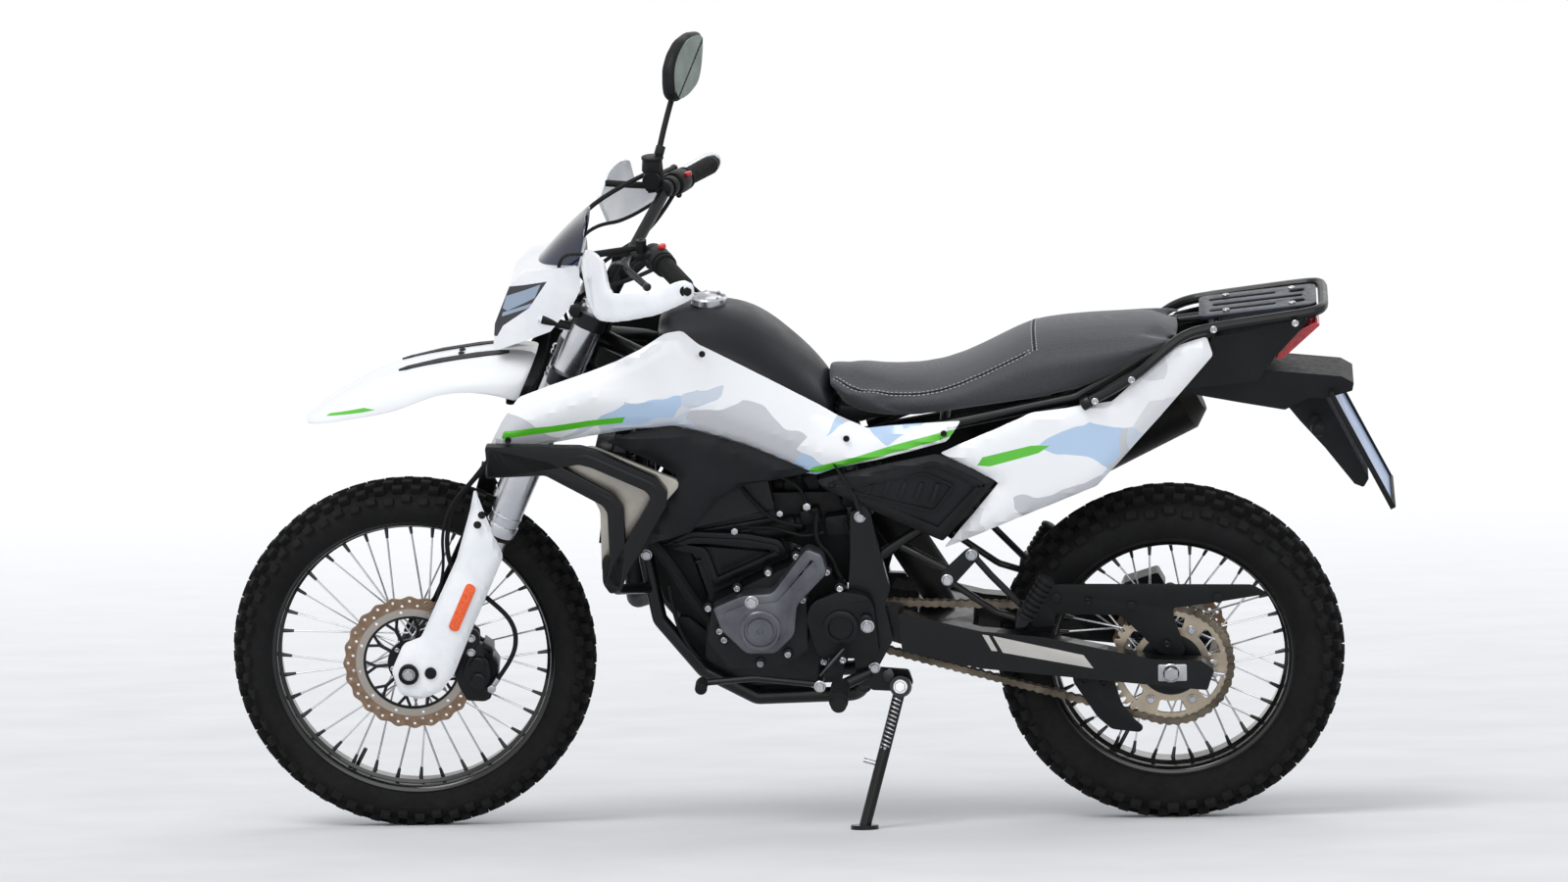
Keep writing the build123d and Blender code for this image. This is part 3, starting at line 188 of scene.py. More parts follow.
# name: colour, deep colour, roughness, metallic, coat, grain in mm, grain depth in mm
PLAIN_FINISHES = {
    # moulded and painted ABS: even, bright, with a clear coat over faint orange peel
    "white_gloss_abs": ("white_panel", "#E3E6EA", 0.24, 0.0, 0.5, 14.0, 0.02),
    # satin paint over pressed steel: nearly black with a blue cast, broad soft highlights
    "satin_tank_paint": ("tank_paint", "#0A0C11", 0.42, 0.0, 0.10, 8.0, 0.02),
    # sandblasted mould texture: a fine pebble grain with a low sheen
    "grained_black_plastic": ("#121315", "#0C0D0E", 0.52, 0.0, 0.0, 1.6, 0.10),
    # the same grain in a dark grey compound: a little coarser and paler
    "grained_grey_plastic": ("#191A1D", "#121316", 0.50, 0.0, 0.0, 1.8, 0.12),
    # powder coated steel tube: satin black, softly pebbled
    "powder_coated_steel": ("#0E0F11", "#08090A", 0.36, 0.0, 0.20, 3.0, 0.04),
    # black anodising over polished alloy: deep and glossy
    "anodised_black_rim": ("#0A0B0D", "#060708", 0.22, 0.2, 0.4, 6.0, 0.01),
    # vulcanised rubber: dull, a little dusty
    "tyre_rubber": ("#141415", "#0C0C0D", 0.80, 0.0, 0.0, 2.2, 0.12),
    # moulded rubber of grips, hoses and foot pieces: dull, fine grained
    "moulded_rubber": ("#101113", "#0A0B0C", 0.60, 0.0, 0.0, 1.2, 0.08),
    # cast covers painted with aluminium flake, fine sandy skin
    "grey_engine_paint": ("engine_grey", "#4A4C52", 0.36, 0.75, 0.2, 1.8, 0.06),
    # baked black paint over castings and screws: a low sheen on a sandy skin
    "black_engine_paint": ("#16181B", "#0E1012", 0.38, 0.2, 0.1, 2.0, 0.10),
    # sand-cast crankcase: coarse skin, dull metal
    "sand_cast_alloy": ("#1A1C1F", "#101214", 0.50, 0.4, 0.0, 2.4, 0.22),
    # hard anodised and polished fork tube: a clean pale silver
    "anodised_silver": ("#CDCED2", "#B9BBC1", 0.26, 0.95, 0.0, 10.0, 0.01),
    # warm silver flake paint on moulded plastic
    "painted_silver_panel": ("panel_silver", "#A7A198", 0.34, 0.55, 0.2, 2.0, 0.02),
    # zinc plated fasteners: bright with a faint mottle
    "zinc_plated_steel": ("#D2D3D5", "#ACAEB3", 0.30, 1.0, 0.0, 2.0, 0.02),
    # drawn stainless wire: bright along its length
    "stainless_spoke_wire": ("#D9DADD", "#BDBFC4", 0.24, 1.0, 0.0, 4.0, 0.01),
    # turned and stamped steel, pale bronze from its zinc plate
    "machined_sprocket_steel": ("#C6B9A3", "#A6998A", 0.38, 0.85, 0.0, 3.0, 0.04),
    # oiled chain with road dust baked on
    "oiled_chain_steel": ("#7E7466", "#4A4239", 0.46, 0.7, 0.0, 3.0, 0.06),
    # heat proof black on the pipe and silencer: chalky, a little brown where it is hot
    "heat_paint_black": ("#0D0E0F", "#15120F", 0.50, 0.2, 0.0, 2.2, 0.08),
    # injection moulded red plastic, polished by its mould: bright and even
    "glossy_red_plastic": ("#D8202A", "#B3141E", 0.25, 0.0, 0.4, 6.0, 0.01),
    # painted sheet of the blank number plate
    "plate_sheet_blue": ("plate_blue", "#8FA8D2", 0.35, 0.0, 0.2, 5.0, 0.01),
    # pressed rack plate: blue-black paint with a soft metallic sheen
    "satin_rack_paint": ("#232A38", "#171C27", 0.40, 0.4, 0.1, 2.0, 0.03),
    # forged lever, black anodised: dark, with faint clouds
    "black_anodised_lever": ("#1C1E23", "#101216", 0.30, 0.5, 0.2, 2.0, 0.03),
    # twisted polyester thread: pale and quite dull
    "pale_thread": ("#B9BBBF", "#A6A8AC", 0.70, 0.0, 0.0, 1.0, 0.02),
    # printed metal foil: pale, a soft shine under clear film
    "pale_foil_trim": ("#CFCCC6", "#C2BFB9", 0.34, 0.3, 0.1, 6.0, 0.01),
}

MATT_SHEEN = 0.22   # what grained plastic, rubber and satin paint mirror; 0.5 is a smooth face
CLOUD = 70.0        # width of the faint clouds in a plain finish, mm


def plain_finish(name):
    """A finish from the table: two close colours, a varying sheen and its mould or cast grain."""
    light, dark, roughness, metallic, coat, grain, depth = PLAIN_FINISHES[name]
    material, tree, shader, place = new_finish(name, roughness, metallic, Coat_Weight=coat)
    if metallic < 0.3 and coat < 0.3:
        shader.inputs["Specular IOR Level"].default_value = MATT_SHEEN
    tree.links.new(clouded(tree, place, CLOUD, 0.35, 0.65, light, dark, 4.0), shader.inputs["Base Color"])
    specks = add_node(tree, "ShaderNodeTexNoise", {"Scale": 1 / (grain * 6), "Detail": 2.0}, {"Vector": place})
    add_node(tree, "ShaderNodeMapRange",
             {"From Min": 0.3, "From Max": 0.7, "To Min": roughness - 0.05, "To Max": roughness + 0.07},
             {"Value": specks.outputs["Fac"]}, {"Result": shader.inputs["Roughness"]})
    grained(tree, shader, place, grain, 0.35, depth)
    return material


ORANGE_PEEL = (14.0, 0.2, 0.02)   # width in mm, strength and depth in mm of the waves under the film
FENDER_STREAK = [(-856, 826), (-846, 833), (-780, 849), (-752, 846), (-784, 840), (-842, 825)]


def fender_finish():
    """The panels' white plastic with one green streak of film."""
    material, tree, shader, place = new_finish("fender_film", 0.22, Coat_Weight=0.6)
    streak = polygon(tree, place, FENDER_STREAK)
    tree.links.new(laid_over(tree, "white_panel", "film_green", streak), shader.inputs["Base Color"])
    grained(tree, shader, place, *ORANGE_PEEL)
    return material


PATCH = 84.0           # width of one camouflage patch, mm
PATCH_BEND = 90.0      # how far, and over what width, its outline is bent, mm
PATCH_STRETCH = (0.7, 0, 1.2)
# the share of patches, running up from nothing, at which each colour starts
PATCH_COLOURS = (
    (0.34, "film_grey"), (0.52, "#DBDDE0"), (0.68, "film_blue"), (0.80, "#CAD3DF"), (0.92, "white_panel"),
)
# each stripe's corners (x, z), clockwise as seen from the left
GREEN_STRIPES = (
    [(-513, 831), (-506, 845), (-284, 864), (-290, 851), (-510, 830)],
    [(42, 730), (57, 743), (298, 808), (340, 811), (312, 797), (68, 730)],
    [(360, 740), (370, 756), (460, 778), (495, 777), (474, 763), (383, 738)],
)


def camouflage_finish():
    """Printed film under clear lacquer: white ground, rounded grey and sky-blue patches."""
    material, tree, shader, place = new_finish("camouflage_film", 0.2, Coat_Weight=0.6)
    warp = add_node(tree, "ShaderNodeTexNoise", {"Scale": 1 / PATCH_BEND, "Detail": 1.0}, {"Vector": place})
    centred = add_node(tree, "ShaderNodeVectorMath", {"operation": "SUBTRACT", 1: (0.5, 0.5, 0.5)},
                       {0: warp.outputs["Color"]})
    spread = add_node(tree, "ShaderNodeVectorMath", {"operation": "MULTIPLY", 1: (PATCH_BEND,) * 3},
                      {0: centred.outputs[0]})
    bent = add_node(tree, "ShaderNodeVectorMath", {"operation": "ADD"}, {0: place, 1: spread.outputs[0]})
    flat = add_node(tree, "ShaderNodeVectorMath", {"operation": "MULTIPLY", 1: PATCH_STRETCH},
                    {0: bent.outputs[0]})
    cells = add_node(tree, "ShaderNodeTexVoronoi", {"Scale": 1 / PATCH}, {"Vector": flat.outputs[0]})
    pick = add_node(tree, "ShaderNodeSeparateColor", {}, {"Color": cells.outputs["Color"]}).outputs[0]
    colour = "white_panel"
    for share, patch in PATCH_COLOURS:
        colour = laid_over(tree, colour, patch, pick, share, share + 0.01)
    for stripe in GREEN_STRIPES:
        colour = laid_over(tree, colour, "film_green", polygon(tree, place, stripe))
    tree.links.new(colour, shader.inputs["Base Color"])
    grained(tree, shader, place, *ORANGE_PEEL)
    return material


def seat_finish():
    """Embossed vinyl over foam: dark grey, with a fine woven grain that catches light, its hollows darkened
    with painted shade.

    Its threads stand about 5.5 mm apart, coarser than real ones so that they show."""
    material, tree, shader, place = new_finish("embossed_seat_vinyl", 0.62, Sheen_Weight=0.25)
    weave, cross = (add_node(tree, "ShaderNodeTexWave", {"Scale": 0.18, "Distortion": 1.2, "Detail": 2.0,
                                                         "bands_direction": way}, {"Vector": place})
                    for way in "ZX")
    threads = add_node(tree, "ShaderNodeMath", {"operation": "MAXIMUM"},
                       {0: weave.outputs["Fac"], 1: cross.outputs["Fac"]})
    pebbles = add_node(tree, "ShaderNodeTexNoise", {"Scale": 1 / 2.4, "Detail": 3.0}, {"Vector": place})
    grain = add_node(tree, "ShaderNodeMath", {"operation": "MULTIPLY"},
                     {0: threads.outputs["Value"], 1: pebbles.outputs["Fac"]}).outputs["Value"]
    # painted shade: darker (#26282C) in the weave's hollows, the vinyl grey on its raised threads
    tree.links.new(laid_over(tree, "#26282C", "seat_grey", grain, 0.2, 0.7), shader.inputs["Base Color"])
    add_node(tree, "ShaderNodeBump", {"Strength": 0.6, "Distance": 0.35 * MM}, {"Height": grain},
             {"Normal": shader.inputs["Normal"]})
    return material


def disc_finish(name, axle, band_radius):
    """Ground steel disc: bronze-brown pad track with fine rings, a paler band inside it."""
    material, tree, shader, place = new_finish(name, 0.36, 0.85)
    from_axle = add_node(tree, "ShaderNodeVectorMath", {"operation": "SUBTRACT", 1: (axle[0], 0, axle[1])},
                         {0: place})
    flat = add_node(tree, "ShaderNodeVectorMath", {"operation": "MULTIPLY", 1: (1, 0, 1)},
                    {0: from_axle.outputs[0]})
    radius = add_node(tree, "ShaderNodeVectorMath", {"operation": "LENGTH"},
                      {0: flat.outputs[0]}).outputs["Value"]
    colour = laid_over(tree, "#ACA8A2", "#87705C", radius, band_radius - 1, band_radius + 1)
    colour = clouded(tree, place, 12.0, 0.4, 0.7, colour, "#B09A84", most=0.4)
    tree.links.new(colour, shader.inputs["Base Color"])
    turns = add_node(tree, "ShaderNodeMath", {"operation": "MULTIPLY", 1: 4.0}, {0: radius})
    rings = add_node(tree, "ShaderNodeMath", {"operation": "SINE"}, {0: turns.outputs["Value"]})
    add_node(tree, "ShaderNodeBump", {"Strength": 0.25, "Distance": 0.03 * MM},
             {"Height": rings.outputs["Value"]}, {"Normal": shader.inputs["Normal"]})
    return material


def screen_finish():
    """Moulded polycarbonate: glossy navy tint, seen through a little by its alpha."""
    material, tree, shader, place = new_finish("smoked_screen", 0.06, Coat_Weight=0.5, Alpha=0.96)
    tone = clouded(tree, place, 60.0, 0.3, 0.7, "#12203C", "#0A1326")
    tree.links.new(tone, shader.inputs["Base Color"])
    return material


def prism_finish(name, colour, deep):
    """Reflector plastic: clear skin over small moulded prisms, 4 mm wide."""
    material, tree, shader, place = new_finish(name, 0.15, Coat_Weight=0.8)
    prisms = add_node(tree, "ShaderNodeTexVoronoi", {"Scale": 1 / 4.0}, {"Vector": place}).outputs["Distance"]
    tree.links.new(laid_over(tree, colour, deep, prisms), shader.inputs["Base Color"])
    add_node(tree, "ShaderNodeBump", {"Strength": 0.3, "Distance": 0.3 * MM}, {"Height": prisms},
             {"Normal": shader.inputs["Normal"]})
    return material


# pale blue-grey bands on the lamp window: painted reflections, standing in for the shine of the chrome
# reflector bowls
LAMP_REFLECTION_BANDS = (
    [(-514, 1038), (-506, 1062), (-440, 1088), (-452, 1062), (-505, 1034)],
    [(-516, 1022), (-514, 1030), (-458, 1052), (-462, 1044)],
)


def lamp_finish():
    """Lamp window: reflector bowls in a black bezel, under one clear skin; the bowls' shine is painted in as
    pale blue-grey bands, a painted reflection.
    """
    material, tree, shader, place = new_finish("lamp_window", 0.08, Coat_Weight=1.0)
    colour = clouded(tree, place, 30.0, 0.4, 0.6, "#0D1118", "#161C26")
    for bright in LAMP_REFLECTION_BANDS:
        # painted reflection: pale blue-grey bands laid over the dark window
        colour = laid_over(tree, colour, "#8E9DB2", polygon(tree, place, bright))
    tree.links.new(colour, shader.inputs["Base Color"])
    return material


def mirror_finish():
    """Chromed glass under a tint, a little darker in places as it is backed unevenly."""
    material, tree, shader, place = new_finish("mirror_glass", 0.03, 1.0)
    tone = clouded(tree, place, 40.0, 0.3, 0.7, "#76807A", "#616B64")
    tree.links.new(tone, shader.inputs["Base Color"])
    return material


SPECIAL_FINISHES = {
    "camouflage_film": camouflage_finish,
    "fender_film": fender_finish,
    "embossed_seat_vinyl": seat_finish,
    "front_disc_steel": lambda: disc_finish("front_disc_steel", FRONT_AXLE, 106),
    "rear_disc_steel": lambda: disc_finish("rear_disc_steel", REAR_AXLE, 88),
    "smoked_screen": screen_finish,
    "lamp_window": lamp_finish,
    "red_lamp_lens": lambda: prism_finish("red_lamp_lens", "#C8121C", "#7C0810"),
    "orange_reflector_plastic": lambda: prism_finish("orange_reflector_plastic", "#FF6A12", "#D8420A"),
    "mirror_glass": mirror_finish,
}
finishes_made = {}


def finish(name):
    """The material of a name, made when it is first asked for."""
    if name not in finishes_made:
        finishes_made[name] = SPECIAL_FINISHES[name]() if name in SPECIAL_FINISHES else plain_finish(name)
    return finishes_made[name]


# ---- shop tools ----------------------------------------------------------------------------
SAME_POINT = 0.00001   # metres within which doubles are merged


def at(x, y, z):
    """A place in millimetres as one in metres."""
    return Vector((x, y, z)) * MM


def clear():
    """Back to object mode with nothing selected."""
    if bpy.context.object and bpy.context.object.mode != "OBJECT":
        bpy.ops.object.mode_set(mode="OBJECT")
    bpy.ops.object.select_all(action="DESELECT")


def only(piece):
    """Selects one piece and makes it the active one."""
    clear()
    piece.select_set(True)
    bpy.context.view_layer.objects.active = piece


def edit_all(piece):
    """Into edit mode with all of a piece selected."""
    only(piece)
    bpy.ops.object.mode_set(mode="EDIT")
    bpy.ops.mesh.select_all(action="SELECT")


def close_edit():
    """Turns all faces outwards and leaves edit mode."""
    bpy.ops.mesh.select_all(action="SELECT")
    bpy.ops.mesh.normals_make_consistent(inside=False)
    bpy.ops.object.mode_set(mode="OBJECT")


def outward(piece):
    """Turns all of a piece's faces outwards."""
    edit_all(piece)
    close_edit()


def edit_top(piece):
    """Into edit mode with the faces that look up selected."""
    edit_all(piece)
    bpy.ops.mesh.select_all(action="DESELECT")
    bpy.ops.object.mode_set(mode="OBJECT")
    for face in piece.data.polygons:
        face.select = face.normal.z > 0.9
    bpy.ops.object.mode_set(mode="EDIT")


def modify(piece, kind, **settings):
    """Adds one modifier, sets it and applies it."""
    only(piece)
    modifier = piece.modifiers.new(kind.title(), kind)
    for key, value in settings.items():
        setattr(modifier, key, value)
    bpy.ops.object.modifier_apply(modifier=modifier.name)


def soften(piece, width, segments=2, angle=35.0):
    """Rounds the edges sharper than an angle, by a width in millimetres."""
    modify(piece, "BEVEL", width=width * MM, segments=segments, limit_method="ANGLE",
           angle_limit=math.radians(angle), harden_normals=False)


def joined(pieces):
    """Joins pieces into the first of them."""
    clear()
    for piece in pieces:
        piece.select_set(True)
    bpy.context.view_layer.objects.active = pieces[0]
    if len(pieces) > 1:
        bpy.ops.object.join()
    return pieces[0]


def ready(pieces, name, finish_name, body, replaced=(), angle=35.0):
    """Finishes one piece, or several as one: smooth, named, leaned with the machine, riding on its body."""
    piece = joined(pieces) if isinstance(pieces, list) else pieces
    piece.name = piece.data.name = name
    if not piece.data.materials:
        piece.data.materials.append(finish(finish_name))
    only(piece)
    bpy.ops.object.shade_smooth_by_angle(angle=math.radians(angle))
    piece.matrix_world = LEANED
    bpy.ops.object.transform_apply(location=True, rotation=True, scale=True)
    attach(piece, body)
    if replaced:
        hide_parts(*replaced)


def copies(template, places):
    """A template set at each matrix, joined as one piece; the template goes."""
    twins = []
    for place in places:
        twin = template.copy()
        twin.data = template.data.copy()
        bpy.context.collection.objects.link(twin)
        twin.data.transform(place)
        twins.append(twin)
    bpy.data.objects.remove(template)
    return joined(twins)


def facing(place, way):
    """A matrix that sets a piece drawn up +Z at a place, facing a way."""
    quaternion = Vector(way).normalized().to_track_quat("Z", "Y")
    return Matrix.Translation(at(*place)) @ quaternion.to_matrix().to_4x4()


def drawn(places, fill="NGON"):
    """An outline through places, left in edit mode with all of it selected."""
    clear()
    bpy.ops.mesh.primitive_circle_add(vertices=len(places), fill_type=fill)
    piece = bpy.context.object
    for vertex, place in zip(piece.data.vertices, places):
        vertex.co = at(*place)
    edit_all(piece)
    return piece


def slab(places, way, corner, edge, hollow=0.0, segments=2, angle=35.0):
    """A flat outline thickened along a way, its corners and edges rounded; a hollow one is a frame."""
    piece = drawn(places)
    if corner:
        bpy.ops.mesh.bevel(offset=corner * MM, segments=4, affect="VERTICES")
        bpy.ops.mesh.select_all(action="SELECT")
    if hollow:
        bpy.ops.mesh.inset(thickness=hollow * MM)
        bpy.ops.mesh.delete(type="FACE")
        bpy.ops.mesh.select_all(action="SELECT")
    bpy.ops.mesh.extrude_region_move(TRANSFORM_OT_translate={"value": way})
    close_edit()
    if edge:
        soften(piece, edge, segments, angle)
    return piece


def plate(outline, y_a, y_b, corner=0.0, edge=1.0, hollow=0.0):
    """A plate cut to a side outline of (x, z), from y_a to y_b."""
    return slab([(x, y_a, z) for x, z in outline], (0, (y_b - y_a) * MM, 0), corner, edge, hollow)


def pressed(outline, low, high, place, corner, edge, segments=2):
    """A plate cut to an outline of (u, v) between two heights of its own plane, then set in place."""
    piece = slab([(u, v, low) for u, v in outline], (0, 0, (high - low) * MM), corner, edge, 0, segments, 40)
    piece.data.transform(place)
    return piece


def bar(a, b, diameter, sides=24, edge=1.0, end=None):
    """A round bar from a to b, its end diameter changed if given, edges rounded."""
    clear()
    a, b = at(*a), at(*b)
    bpy.ops.mesh.primitive_cone_add(vertices=sides, radius1=diameter / 2 * MM,
                                    radius2=(end if end is not None else diameter) / 2 * MM,
                                    depth=(b - a).length)
    piece = bpy.context.object
    piece.data.transform(Matrix.Translation((a + b) / 2)
                         @ (b - a).to_track_quat("Z", "Y").to_matrix().to_4x4())
    if edge:
        soften(piece, edge, 2, 50)
    return piece


def hose(points, diameter, order=3):
    """A smooth tube whose line is guided by the points."""
    clear()
    bpy.ops.curve.primitive_nurbs_path_add()
    path = bpy.context.object
    path.data.splines.clear()
    spline = path.data.splines.new("NURBS")
    spline.points.add(len(points) - 1)
    for point, place in zip(spline.points, points):
        point.co = (*at(*place), 1.0)
    spline.order_u = order
    spline.use_endpoint_u = True
    spline.resolution_u = 8
    path.data.bevel_depth = diameter / 2 * MM
    path.data.bevel_resolution = 3
    path.data.use_fill_caps = True
    only(path)
    bpy.ops.object.convert(target="MESH")
    return bpy.context.object


def coil(low, top, side_a, side_b, radius, turns, wire):
    """A wound spring from low to top, its turns drawn across side_a and side_b."""
    points = []
    for i in range(turns * 8 + 1):
        a = i * math.pi / 4
        points.append(low + (top - low) * i / (turns * 8)
                      + side_a * radius * math.cos(a) + side_b * radius * math.sin(a))
    return hose(points, wire)


def spun(profile, axle, steps=96):
    """A ring spun about an axle at (x, z) from a profile of (radius, y)."""
    piece = drawn([(axle[0] + radius, y, axle[1]) for radius, y in profile], "NOTHING")
    bpy.ops.mesh.spin(steps=steps, angle=2 * math.pi, center=at(axle[0], 0, axle[1]), axis=(0, 1, 0))
    bpy.ops.mesh.select_all(action="SELECT")
    bpy.ops.mesh.remove_doubles(threshold=SAME_POINT)
    close_edit()
    return piece


def lofted(sections, closed=True, thickness=0.0, rounds=0):
    """A form through sections of points with equal counts: a closed skin, or an open one with a wall."""
    clear()
    across = len(sections[0]) + (1 if closed else 0)
    bpy.ops.mesh.primitive_grid_add(x_subdivisions=across - 1, y_subdivisions=len(sections) - 1)
    piece = bpy.context.object
    vertices = iter(piece.data.vertices)
    for section in sections:
        for place in list(section) + ([section[0]] if closed else []):
            next(vertices).co = at(*place)
    edit_all(piece)
    if closed:
        bpy.ops.mesh.remove_doubles(threshold=SAME_POINT)
        bpy.ops.mesh.select_all(action="DESELECT")
        bpy.ops.mesh.select_non_manifold()
        bpy.ops.mesh.fill_holes(sides=0)
    close_edit()
    if thickness:
        modify(piece, "SOLIDIFY", thickness=thickness * MM, offset=0.0, use_even_offset=True)
    if rounds:
        modify(piece, "SUBSURF", levels=rounds, render_levels=rounds)
    if thickness:
        outward(piece)
    return piece


def rim_distance(x, z, outline):
    """Distance from a point to the nearest edge of an outline."""
    best = 1e9
    for (ax, az), (bx, bz) in zip(outline, outline[1:] + outline[:1]):
        run = (bx - ax) ** 2 + (bz - az) ** 2
        t = max(0.0, min(1.0, ((x - ax) * (bx - ax) + (z - az) * (bz - az)) / run)) if run else 0.0
        best = min(best, math.hypot(x - ax - t * (bx - ax), z - az - t * (bz - az)))
    return best


def skin(outline, side, outer, wall, cell, corner, curl, rim, inner="grained_black_plastic"):
    """Both body panels cut to a side outline; side(x, z) gives their distance from the centre plane.

    The border curls inwards by curl over the width rim, as a moulded panel's does. The outer face
    takes the outer finish, and the inside is bare plastic."""
    piece = drawn([(x, 0, z) for x, z in outline])
    bpy.ops.mesh.bevel(offset=corner * MM, segments=4, affect="VERTICES")
    for axis, normal in ((0, (1, 0, 0)), (1, (0, 0, 1))):
        values = [point[axis] for point in outline]
        low, high = min(values), max(values)
        cuts = max(2, int((high - low) / cell))
        for i in range(1, cuts):
            level = (low + (high - low) * i / cuts) * MM
            bpy.ops.mesh.select_all(action="SELECT")
            bpy.ops.mesh.bisect(plane_co=(level * normal[0], 0, level * normal[2]), plane_no=normal)
    bpy.ops.object.mode_set(mode="OBJECT")
    for vertex in piece.data.vertices:
        x, z = vertex.co.x / MM, vertex.co.z / MM
        near = max(0.0, 1 - rim_distance(x, z, outline) / rim)
        vertex.co.y = -(side(x, z) - curl * near * near) * MM
    modify(piece, "MIRROR", use_axis=(False, True, False), use_mirror_merge=False)
    outward(piece)
    for finish_name in (outer, inner):
        piece.data.materials.append(finish(finish_name))
    modify(piece, "SOLIDIFY", thickness=wall * MM, offset=0.0, use_even_offset=False)
    outward(piece)
    for face in piece.data.polygons:
        face.material_index = int(face.normal.y * face.center.y < -0.2 * abs(face.center.y))
    return piece


def between(table):
    """A function that reads a table of (x, value) by straight interpolation, whatever z is."""
    def read(x, z=0.0):
        if x <= table[0][0]:
            return table[0][1]
        for (xa, a), (xb, b) in zip(table, table[1:]):
            if x <= xb:
                return a + (b - a) * (x - xa) / (xb - xa)
        return table[-1][1]

    return read


def cylinder(sides, radius, height, middle):
    """A cylinder on the Z axis, its middle at a height."""
    clear()
    bpy.ops.mesh.primitive_cylinder_add(vertices=sides, radius=radius * MM, depth=height * MM,
                                        location=(0, 0, middle * MM))
    piece = bpy.context.object
    only(piece)
    bpy.ops.object.transform_apply(location=True)
    return piece


def socket_bolt(diameter, height):
    """A cap screw drawn up +Z, with a socket sunk in its head."""
    piece = cylinder(18, diameter / 2, height, height / 2)
    edit_top(piece)
    bpy.ops.mesh.inset(thickness=diameter * 0.24 * MM)
    bpy.ops.mesh.extrude_region_move(TRANSFORM_OT_translate={"value": (0, 0, -height * 0.6 * MM)})
    bpy.ops.object.mode_set(mode="OBJECT")
    soften(piece, diameter * 0.06, 1, 50)
    return piece


def hex_bolt(diameter, height):
    """A flanged hexagon bolt drawn up +Z."""
    flange = cylinder(24, diameter * 0.62, height * 0.3, height * 0.15)
    head = cylinder(6, diameter / 2, height * 0.8, height * 0.6)
    for piece in (flange, head):
        soften(piece, diameter * 0.05, 1, 50)
    return joined([flange, head])


LEFT = (0, -1, 0)


def rows(points, way=LEFT):
    """Fastener places that all face one way."""
    return [(point, way) for point in points]


def rows_both(points):
    """Fastener places on both sides, each facing out, from points (x, distance from the middle, z)."""
    return [((x, side * y, z), (0, side, 0)) for side in (-1, 1) for x, y, z in points]


def fasteners(name, template, places, body, finish_name="zinc_plated_steel", slot="steel_control"):
    """Copies of one fastener at rows of (place, way)."""
    ready(copies(template, [facing(place, way) for place, way in places]), name, finish_name, body)


BLACK_BOLTS = ("black_engine_paint", "black_bracket")   # finish and slot of the dark ones


# ---- wheels --------------------------------------------------------------------------------
# part of the sidewall's depth, part of the tyre's half width
CARCASS = (
    (0.0, 0.60), (0.06, 0.74), (0.10, 0.76), (0.13, 0.74), (0.30, 0.90), (0.50, 0.98), (0.66, 0.97),
    (0.80, 0.84), (0.90, 0.64), (0.97, 0.34), (1.0, 0.0),
)
# knob rows: depth along the sidewall, part of the half width, lean, length, width, height, phase
KNOB_ROWS = (
    (0.995, 0.17, 8, 23, 15, 14, 0.0), (0.93, 0.53, 27, 22, 14, 14, 0.5), (0.77, 0.86, 56, 21, 15, 12, 0.0),
)
BASE_DEPTH = 12     # how far the carcass lies under the tops of the knobs, mm at the front tyre's scale
KNOB_ROOT = 4       # how far a knob goes down into the carcass, mm
EDGE_DROP = 6.0     # how much further in every other edge knob stands, mm


def knob(length, width, height):
    """One tread block drawn up +Z: drafted sides, rounded edges."""
    clear()
    bpy.ops.mesh.primitive_cube_add(size=1)
    piece = bpy.context.object
    edit_all(piece)
    bpy.ops.transform.resize(value=(length * MM, width * MM, (height + KNOB_ROOT) * MM))
    bpy.ops.transform.translate(value=(0, 0, (height / 2 - KNOB_ROOT / 2) * MM))
    edit_top(piece)
    bpy.ops.transform.resize(value=(0.82, 0.82, 1))
    bpy.ops.object.mode_set(mode="OBJECT")
    soften(piece, 1.2, 1)
    return piece


def tyre(name, body, axle, radius, half, bead, pitches, scale):
    """A knobbly tyre: a spun carcass under rows of tread blocks."""
    depth = radius - BASE_DEPTH * scale - bead
    side = [(bead + part * depth, half * share) for part, share in CARCASS]
    parts = [spun(side + [(r, -y) for r, y in reversed(side[:-1])], axle, 144)]
    middle = Matrix.Translation(at(axle[0], 0, axle[1]))
    for row, (deep, share, lean, length, width, height, phase) in enumerate(KNOB_ROWS):
        places = []
        for sign in (-1, 1):
            across = Matrix.Rotation(math.radians(-lean * sign), 4, "X")
            for i in range(pitches):
                turned = 2 * math.pi * (i + phase + (0.5 if sign > 0 else 0.0)) / pitches
                drop = EDGE_DROP if row == 2 and i % 2 else 0.0
                out = Matrix.Translation((0, half * share * sign * MM, (bead + deep * depth - drop) * MM))
                places.append(middle @ Matrix.Rotation(turned, 4, "Y") @ out @ across)
        parts.append(copies(knob(length * scale, width * scale, height * scale), places))
    ready(parts, name, "tyre_rubber", body, [name.replace("_tread", "")])


def rim(name, body, axle, bead, half, node):
    """The rim, with its well, flanges and a valve stem."""
    wide = 0.60 * half
    profile = ((bead + 7, wide + 4), (bead + 5, wide + 8), (bead - 1, wide + 5), (bead - 4, wide + 1),
               (bead - 5, 0.55 * wide), (bead - 10, 0.40 * wide), (bead - 11, -0.40 * wide),
               (bead - 5, -0.55 * wide), (bead - 4, -wide - 1), (bead - 1, -wide - 5), (bead + 5, -wide - 8),
               (bead + 7, -wide - 4), (bead + 2, -wide + 2), (bead - 1, -0.6 * wide), (bead - 6, 0),
               (bead - 1, 0.6 * wide), (bead + 2, wide - 2))
    ring = spun(profile, axle, 144)
    middle = Vector((axle[0], 0, axle[1]))
    valve_way = Vector((math.cos(math.radians(-118)), 0, math.sin(math.radians(-118))))
    stem = bar(middle + valve_way * (bead - 46), middle + valve_way * (bead - 9), 8, 16)
    ready([ring, stem], name, "anodised_black_rim", body, [node])


